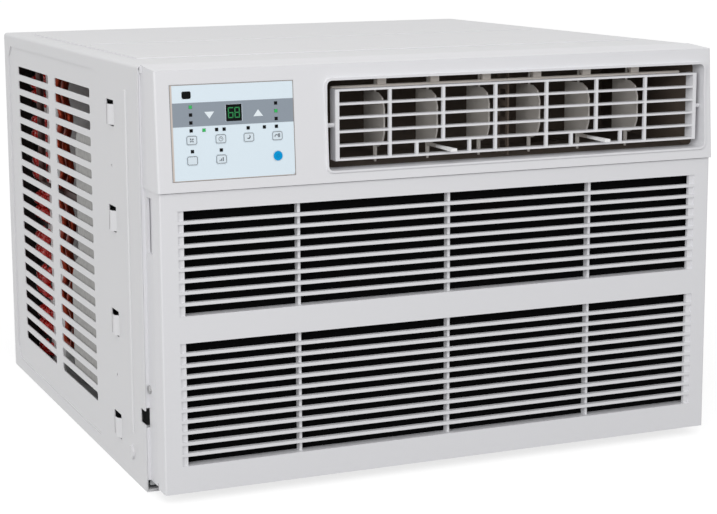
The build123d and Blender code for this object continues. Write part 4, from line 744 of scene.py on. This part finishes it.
class AC_OT_bend_coils(bpy.types.Operator):
    """Replaces the coarse hairpins and pipes with round copper tube"""

    bl_idname = "ac.bend_coils"
    bl_label = "Bend the copper"

    STAND = 0.001                # metres of straight tube before each bend

    def islands(self, mesh):
        """Corners of each separate hairpin in one mesh."""
        groups = []
        for edge in mesh.edges:
            joined, apart = set(edge.vertices), []
            for group in groups:
                if group & joined:
                    joined |= group
                else:
                    apart.append(group)
            groups = apart + [joined]
        return [[mesh.vertices[k].co.copy() for k in sorted(group)]
                for group in sorted(groups, key=min)]

    def hairpin(self, group, steps, radius, squat):
        """Round half turn between the two open ends of one coarse hairpin."""
        side = 1 if group[0].x > 0 else -1
        inner = min(abs(p.x) for p in group)
        low = Vector([min(p[k] for p in group) for k in range(3)])
        high = Vector([max(p[k] for p in group) for k in range(3)])
        middle = (low + high) / 2
        span = high - low
        along = Vector((0, 1, 0)) if span.y > span.z else Vector((0, 0, 1))
        reach = max(span.y, span.z) / 2 - radius
        start = Vector((side * inner, middle.y, middle.z))
        out = Vector((side, 0, 0))
        route = [start - along * reach]
        for step in range(steps + 1):
            angle = math.pi * step / steps - math.pi / 2
            route.append(start + out * (self.STAND + reach * squat * math.cos(angle))
                         + along * reach * math.sin(angle))
        route.append(start + along * reach)
        return route

    def execute(self, context):
        looks = context.scene.ac_pipes
        for node in ("condenser_tubes", "evaporator_tubes"):
            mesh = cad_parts[node].data
            routes = [self.hairpin(group, looks.bend_steps, looks.radius, looks.squat)
                      for group in self.islands(mesh)]
            if not routes:
                raise RuntimeError(f"no hairpins found in {node}")
            piece = tube_piece(node + "_round", routes, looks.radius, material_of(node))
            settle(piece, "unit")
            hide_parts(node)
        return {"FINISHED"}


class AC_OT_smooth_pipes(bpy.types.Operator):
    """Replaces the coarse refrigerant pipes with round tube along the same runs"""

    bl_idname = "ac.smooth_pipes"
    bl_label = "Smooth the pipes"

    # Corners of each pipe's runs in mm, with its radius and the radius of its bends.
    RUNS = {
        "discharge_pipe": (4.8, 12, (
            (-225, 27.05, 228.2), (-225, 27.05, 415.5), (-308, 27.05, 415.5),
            (-308, 102.05, 415.5), (-308, 102.05, 70), (-308, 137.05, 70),
            (-308, 137.05, 415.5), (-308, 255.05, 415.5), (-297.5, 255.05, 415.5))),
        "liquid_pipe": (4.8, 10, (
            (-297.5, 283.05, 415.5), (-318.5, 283.05, 415.5), (-318.5, 283.05, 430.5),
            (-318.5, 194.05, 430.5), (-318.5, 194.05, 265.5), (-318.5, 77.05, 265.5))),
        "suction_pipe": (7.0, 16, (
            (-102, 27.05, 202.2), (-102, 27.05, 292.2), (-132, 27.05, 292.2),
            (-132, -99.15, 292.2))),
        "capillary_pipe": (3.0, 10, (
            (-311.3, -12.95, 265.5), (-311.3, -42.95, 265.5), (-311.3, -42.95, 325.5),
            (-311.3, -99.15, 325.5))),
    }

    LONG_LEG = 0.25              # metres: only upright legs longer than this are waved
    WAVES, WAVE_STEPS = 5, 12    # waves on a leg, and points on a wave
    SLACK = 0.01                 # metres by which a run may lie outside its CAD pipe

    def waved(self, route, size):
        """The same route with its long upright legs bent to and fro, side by side."""
        legs = []
        for start, end in zip(route, route[1:]):
            legs.append(start)
            drop = end.z - start.z
            if abs(drop) > self.LONG_LEG:
                steps = self.WAVES * self.WAVE_STEPS
                for k in range(1, steps):
                    share = k / steps
                    swing = (size * math.sin(2 * math.pi * self.WAVES * share)
                             * math.copysign(1, -drop))
                    legs.append(start.lerp(end, share) + Vector((0, swing, 0)))
        return legs + [route[-1]]

    def execute(self, context):
        for node, (radius, bend, corners) in self.RUNS.items():
            low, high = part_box(node)
            for corner in corners:
                inside = all(low[k] - self.SLACK < corner[k] * MM < high[k] + self.SLACK
                             for k in range(3))
                if not inside:
                    raise RuntimeError(f"{node} no longer runs through {corner}")
            route = rounded_route([[c * MM for c in corner] for corner in corners], bend * MM)
            if node == "discharge_pipe":
                route = self.waved(route, context.scene.ac_pipes.wave)
            piece = tube_piece(node + "_round", [route], radius * MM, material_of(node))
            settle(piece, "unit")
            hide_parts(node)
        return {"FINISHED"}


class AC_OT_add_screens(bpy.types.Operator):
    """Adds the zinc screen behind the left slots and the rail above the vanes"""

    bl_idname = "ac.add_screens"
    bl_label = "Add the screens"

    # Outlines in depth and height, and places along X, all in mm.
    SCREEN = ((250, 62), (352, 62), (352, 176), (338, 196), (319, 206), (319, 340), (309, 357),
              (250, 357))
    SCREEN_SPAN = (-326.4, -325.6)
    RAIL = ((31, 416.6), (33, 415.8), (35, 416.6), (35, 419.6), (34, 420.4), (32, 420.4),
            (31, 419.6))
    RAIL_SPAN = (-124.5, 303.0)
    LUG = ((32, 420.0), (36, 420.0), (40, 427.5), (32, 427.5))
    LUG_HALF = 5

    def execute(self, context):
        # Narrow above, wide below, with a bent step between: dull zinc with its spangle.
        zinc = finish("weathered zinc sheet", "#B4B3B1", 0.7, mottle=0.5, mottle_size=5.0)
        screen = bar_along_x(*self.SCREEN_SPAN, self.SCREEN, inward=True)
        settle(mesh_piece("side_screen", *screen, zinc), "unit")
        # Rail that carries the vanes' upper pins, with a lug up to the roof at each.
        # The rail's grey-brown is lightened nearly to white as painted light, since it stands in
        # shade.
        plastic = finish("rail plastic, lightened as painted light", "#F0E8E0", 0.6)
        parts = [bar_along_x(*self.RAIL_SPAN, self.RAIL)]
        for vane in VANES:
            low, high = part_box(vane)
            middle = (low[0] + high[0]) / 2 / MM
            parts.append(bar_along_x(middle - self.LUG_HALF, middle + self.LUG_HALF, self.LUG))
        settle(mesh_piece("vane_rail", *merged(parts), plastic), "unit")
        return {"FINISHED"}


class AC_OT_end_pockets(bpy.types.Operator):
    """Closes the ends of the grille's gaps with shallow pockets behind the slats"""

    bl_idname = "ac.end_pockets"
    bl_label = "Close the gap ends"

    FIELDS = ((38.9, 168.0, 11), (196.3, 304.5, 9))     # foot, top and gaps of each opening
    DEPTHS = (1.6, 5.8)          # front and back of a pocket, in mm behind the grille's face
    HALF_SLAT = 1.7
    HALF_WIDTH = 305.98          # from the grille's middle to the end of a gap
    CLEAR = 0.02                 # keeps pocket and slat from sharing a face

    def execute(self, context):
        looks = context.scene.ac_finish
        near, far = (front_depth(depth) for depth in self.DEPTHS)
        width = looks.pocket / MM
        boxes = []
        for foot, top, gaps in self.FIELDS:
            pitch = (top - foot) / gaps
            for gap in range(gaps):
                low = foot + gap * pitch + (self.HALF_SLAT if gap else 0) + self.CLEAR
                high = (foot + (gap + 1) * pitch - (self.HALF_SLAT if gap < gaps - 1 else 0)
                        - self.CLEAR)
                for end in (-self.HALF_WIDTH, self.HALF_WIDTH - width):
                    boxes.append(((end, near, low), (end + width, far, high)))
        settle(blocks_piece("gap_ends", boxes, material_of("intake_grille")), "grille")
        return {"FINISHED"}


class AC_OT_seal_corners(bpy.types.Operator):
    """Fills the two upper corners of the joint between the panel and the cabinet"""

    bl_idname = "ac.seal_corners"
    bl_label = "Seal the corners"

    DEPTHS = (44.6, 51.0)        # front and back, in mm behind the grille's face
    ACROSS = (0.6, 7.0)          # nearest and farthest from the panel's side
    DROPS = (8.4, 1.6)           # foot and top, below the panel's top

    def execute(self, context):
        low, high = box_mm("front_bezel")
        near, far = (front_depth(depth) for depth in self.DEPTHS)
        inset, reach = self.ACROSS
        below, under = (high[2] - drop for drop in self.DROPS)
        boxes = [((high[0] - reach, near, below), (high[0] - inset, far, under)),
                 ((low[0] + inset, near, below), (low[0] + reach, far, under))]
        settle(blocks_piece("corner_seals", boxes, material_of("front_bezel")), "unit")
        return {"FINISHED"}


class AC_OT_stack_fins(bpy.types.Operator):
    """Stacks thin fins on the open faces of the condenser and the evaporator"""

    bl_idname = "ac.stack_fins"
    bl_label = "Stack the fins"

    STANDS = {"condenser_fins": 2.4, "evaporator_fins": 1.4}    # how far fins stand out, mm
    ROOT = 0.3                   # how far each fin reaches into its block
    HALF_FIN = 0.5

    def execute(self, context):
        looks = context.scene.ac_pipes
        pitch = looks.fin_pitch / MM
        # Rolled foil: pale and only slightly mirror-like, dulled by the slit edges.
        foil = finish("slit aluminium foil", "#C9CCCE", 0.5, metallic=0.5, mottle=0.2,
                      mottle_size=40.0)
        for node, stand in self.STANDS.items():
            low, high = box_mm(node)
            # The condenser is open to the rear, the evaporator to the front.
            near, far = ((high[1] - self.ROOT, high[1] + stand) if node == "condenser_fins"
                         else (low[1] - stand, low[1] + self.ROOT))
            count = int((high[0] - low[0]) / pitch)
            start = low[0] + ((high[0] - low[0]) - (count - 1) * pitch) / 2
            boxes = [((start + k * pitch - self.HALF_FIN, near, low[2]),
                      (start + k * pitch + self.HALF_FIN, far, high[2])) for k in range(count)]
            settle(blocks_piece(node + "_edges", boxes, foil), "unit")
        return {"FINISHED"}


class AC_OT_ease_slots(bpy.types.Operator):
    """Rounds the corners of the cabinet's side slots with small fillets of sheet"""

    bl_idname = "ac.ease_slots"
    bl_label = "Round the slots"

    COLUMNS = (241.9, 432.4)     # front of each column, in mm behind the grille's face
    ROWS, TOP_ROW, ROW_PITCH = 20, 409.5, 18.33

    def fillet(self, x0, x1, y, z, sy, sz, radius, steps=4):
        """Three-cornered web in one corner of a slot, between the sheet's two faces."""
        curve = [(y + sy * radius * (1 - math.cos(a)), z + sz * radius * (1 - math.sin(a)))
                 for a in (math.pi / 2 * k / steps for k in range(steps + 1))]
        rim = [(y, z)] + curve
        count = len(rim)
        points = [(x, a, b) for x in (x0, x1) for a, b in rim]
        faces = [(0, k, k + 1) for k in range(1, count - 1)]
        faces += [(count, count + k + 1, count + k) for k in range(1, count - 1)]
        faces += [(k, count + k, count + k + 1, k + 1) for k in range(1, count - 1)]
        return points, faces

    def execute(self, context):
        looks = context.scene.ac_finish
        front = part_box("intake_grille")[0][1]
        half_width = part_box("cabinet_floor")[1][0] + looks.sheet
        webs = []
        for side in (-1, 1):
            outer = side * (half_width - looks.slot_sink)
            inner = outer - side * looks.sheet
            for column in self.COLUMNS:
                y0 = front + column * MM
                y1 = y0 + looks.slot_length
                for row in range(self.ROWS):
                    z1 = self.TOP_ROW * MM - row * self.ROW_PITCH * MM
                    z0 = z1 - looks.slot_height
                    for y, z, sy, sz in ((y0, z0, 1, 1), (y1, z0, -1, 1), (y0, z1, 1, -1),
                                         (y1, z1, -1, -1)):
                        webs.append(self.fillet(outer, inner, y, z, sy, sz, looks.slot_corner))
        settle(mesh_piece("slot_corners", *merged(webs), material_of("cabinet_shell")), "unit")
        return {"FINISHED"}


class AC_OT_set_stage(bpy.types.Operator):
    """Adds the floor, the even surround, two soft lamps and the camera"""

    bl_idname = "ac.set_stage"
    bl_label = "Set the stage"

    FLOOR_REACH = 60.0           # metres to each side, so that its edge is never seen
    FLOOR_LIFT = 0.74            # takes the floor to white where it is seen
    KEY_PLACE, KEY_TARGET, KEY_SIZE = (-0.6, -1.75, 1.25), (0.0, -0.3, 0.30), 1.2
    SIDE_FROM, SIDE_SPREAD = (-1.0, -0.7, 0.25), 30
    CAMERA_PLACE = (-0.8491, -2.0235, 0.5921)
    CAMERA_TURN = (21.981, 9.316, 0.510)     # azimuth, elevation and roll in degrees
    CAMERA_SHIFT = (0.0676, -0.0586)

    def surround(self, strength):
        """Even pale surround that shows as white behind the object."""
        world = bpy.data.worlds.new("pale surround")
        bpy.context.scene.world = world
        world.use_nodes = True
        tree = world.node_tree
        tree.nodes.clear()
        seen = self.seen_directly(tree)
        level = add_node(tree, "ShaderNodeMix", {"Factor": seen, 2: strength, 3: 1.0})
        ground = add_node(tree, "ShaderNodeBackground",
                          {"Color": (1, 1, 1, 1), "Strength": level.outputs[0]})
        add_node(tree, "ShaderNodeOutputWorld", {"Surface": ground.outputs[0]})

    def seen_directly(self, tree):
        """1 for rays from the camera, or mirrored or passed on to it, else 0."""
        path = tree.nodes.new("ShaderNodeLightPath").outputs
        first = reckon(tree, "MAXIMUM", path["Is Camera Ray"], path["Is Glossy Ray"])
        return reckon(tree, "MAXIMUM", first, path["Is Transmission Ray"])

    def floor(self):
        """Pale floor, lifted to white where it is seen, so that it keeps only the shadow."""
        material, tree = blank_material("pale studio floor")
        matt = add_node(tree, "ShaderNodeBsdfDiffuse", {"Color": linear("#A8A8A8")})
        lift = reckon(tree, "MULTIPLY", self.seen_directly(tree), self.FLOOR_LIFT)
        glow = add_node(tree, "ShaderNodeEmission", {"Strength": lift})
        both = add_node(tree, "ShaderNodeAddShader", {0: matt.outputs[0], 1: glow.outputs[0]})
        add_node(tree, "ShaderNodeOutputMaterial", {"Surface": both.outputs[0]})
        reach = self.FLOOR_REACH
        corners = [(-reach, -reach, 0), (reach, -reach, 0), (reach, reach, 0), (-reach, reach, 0)]
        floor = mesh_piece("studio_floor", corners, [(0, 1, 2, 3)], material)

    def lamp(self, name, kind, energy, source, place=(0, 0, 0), **settings):
        """Lamp of this kind at a place, that shines from this direction."""
        data = bpy.data.lights.new(name, kind)
        data.energy = energy
        for key, value in settings.items():
            setattr(data, key, value)
        lamp = bpy.data.objects.new(name, data)
        lamp.location = place
        lamp.rotation_euler = Vector(source).to_track_quat("Z", "Y").to_euler()
        bpy.context.collection.objects.link(lamp)

    def camera(self, lens):
        """Camera left of and above the front, with a slight roll and a small lens shift."""
        azimuth, elevation, roll = (math.radians(a) for a in self.CAMERA_TURN)
        data = bpy.data.cameras.new("camera")
        data.lens = lens
        data.sensor_width = 36.0
        data.shift_x, data.shift_y = self.CAMERA_SHIFT
        ahead = Vector((math.sin(azimuth) * math.cos(elevation),
                        math.cos(azimuth) * math.cos(elevation), -math.sin(elevation)))
        right = ahead.cross(Vector((0, 0, 1))).normalized()
        down = ahead.cross(right)
        right = right * math.cos(roll) + down * math.sin(roll)
        down = ahead.cross(right)
        turn = Matrix((right, -down, -ahead)).transposed().to_4x4()
        camera = bpy.data.objects.new("camera", data)
        camera.matrix_world = Matrix.Translation(self.CAMERA_PLACE) @ turn
        bpy.context.collection.objects.link(camera)
        bpy.context.scene.camera = camera

    def execute(self, context):
        looks = context.scene.ac_stage
        context.scene.view_settings.view_transform = "Standard"
        self.surround(looks.sky)
        self.floor()
        aim = Vector(self.KEY_PLACE) - Vector(self.KEY_TARGET)
        self.lamp("key lamp", "AREA", looks.key, aim, self.KEY_PLACE, size=self.KEY_SIZE)
        self.lamp("side lamp", "SUN", looks.side, self.SIDE_FROM,
                  angle=math.radians(self.SIDE_SPREAD))
        self.camera(looks.lens)
        return {"FINISHED"}


class AC_PT_panel(bpy.types.Panel):
    """Lists the steps that dress the air conditioner"""

    bl_idname = "AC_PT_panel"
    bl_label = "Air conditioner"
    bl_space_type = "VIEW_3D"
    bl_region_type = "UI"
    bl_category = "Air conditioner"

    def draw(self, context):
        for settings, operators in SECTIONS:
            for operator in operators:
                self.layout.operator(operator.bl_idname)
            group = getattr(context.scene, settings)
            for name in group.__annotations__:
                self.layout.prop(group, name)


SECTIONS = (
    ("ac_finish", (AC_OT_paint_case, AC_OT_paint_front, AC_OT_paint_inside, AC_OT_ease_slots,
                   AC_OT_end_pockets, AC_OT_seal_corners)),
    ("ac_print", (AC_OT_paint_controls, AC_OT_print_label, AC_OT_print_keys,
                  AC_OT_light_display)),
    ("ac_pipes", (AC_OT_bend_coils, AC_OT_smooth_pipes, AC_OT_add_screens,
                  AC_OT_stack_fins)),
    ("ac_stage", (AC_OT_set_stage,)),
)
SETTINGS = {"ac_finish": AcFinishSettings, "ac_print": AcPrintSettings,
            "ac_pipes": AcPipeSettings, "ac_stage": AcStageSettings}
OPERATORS = tuple(operator for _, operators in SECTIONS for operator in operators)


def register():
    for cls in (*SETTINGS.values(), *OPERATORS, AC_PT_panel):
        bpy.utils.register_class(cls)
    for name, cls in SETTINGS.items():
        setattr(bpy.types.Scene, name, PointerProperty(type=cls))


def unregister():
    for name in SETTINGS:
        delattr(bpy.types.Scene, name)
    for cls in (AC_PT_panel, *reversed(OPERATORS), *SETTINGS.values()):
        bpy.utils.unregister_class(cls)


def main():
    register()
    for operator in OPERATORS:
        group, name = operator.bl_idname.split(".")
        getattr(getattr(bpy.ops, group), name)()


if __name__ == "__main__":
    main()
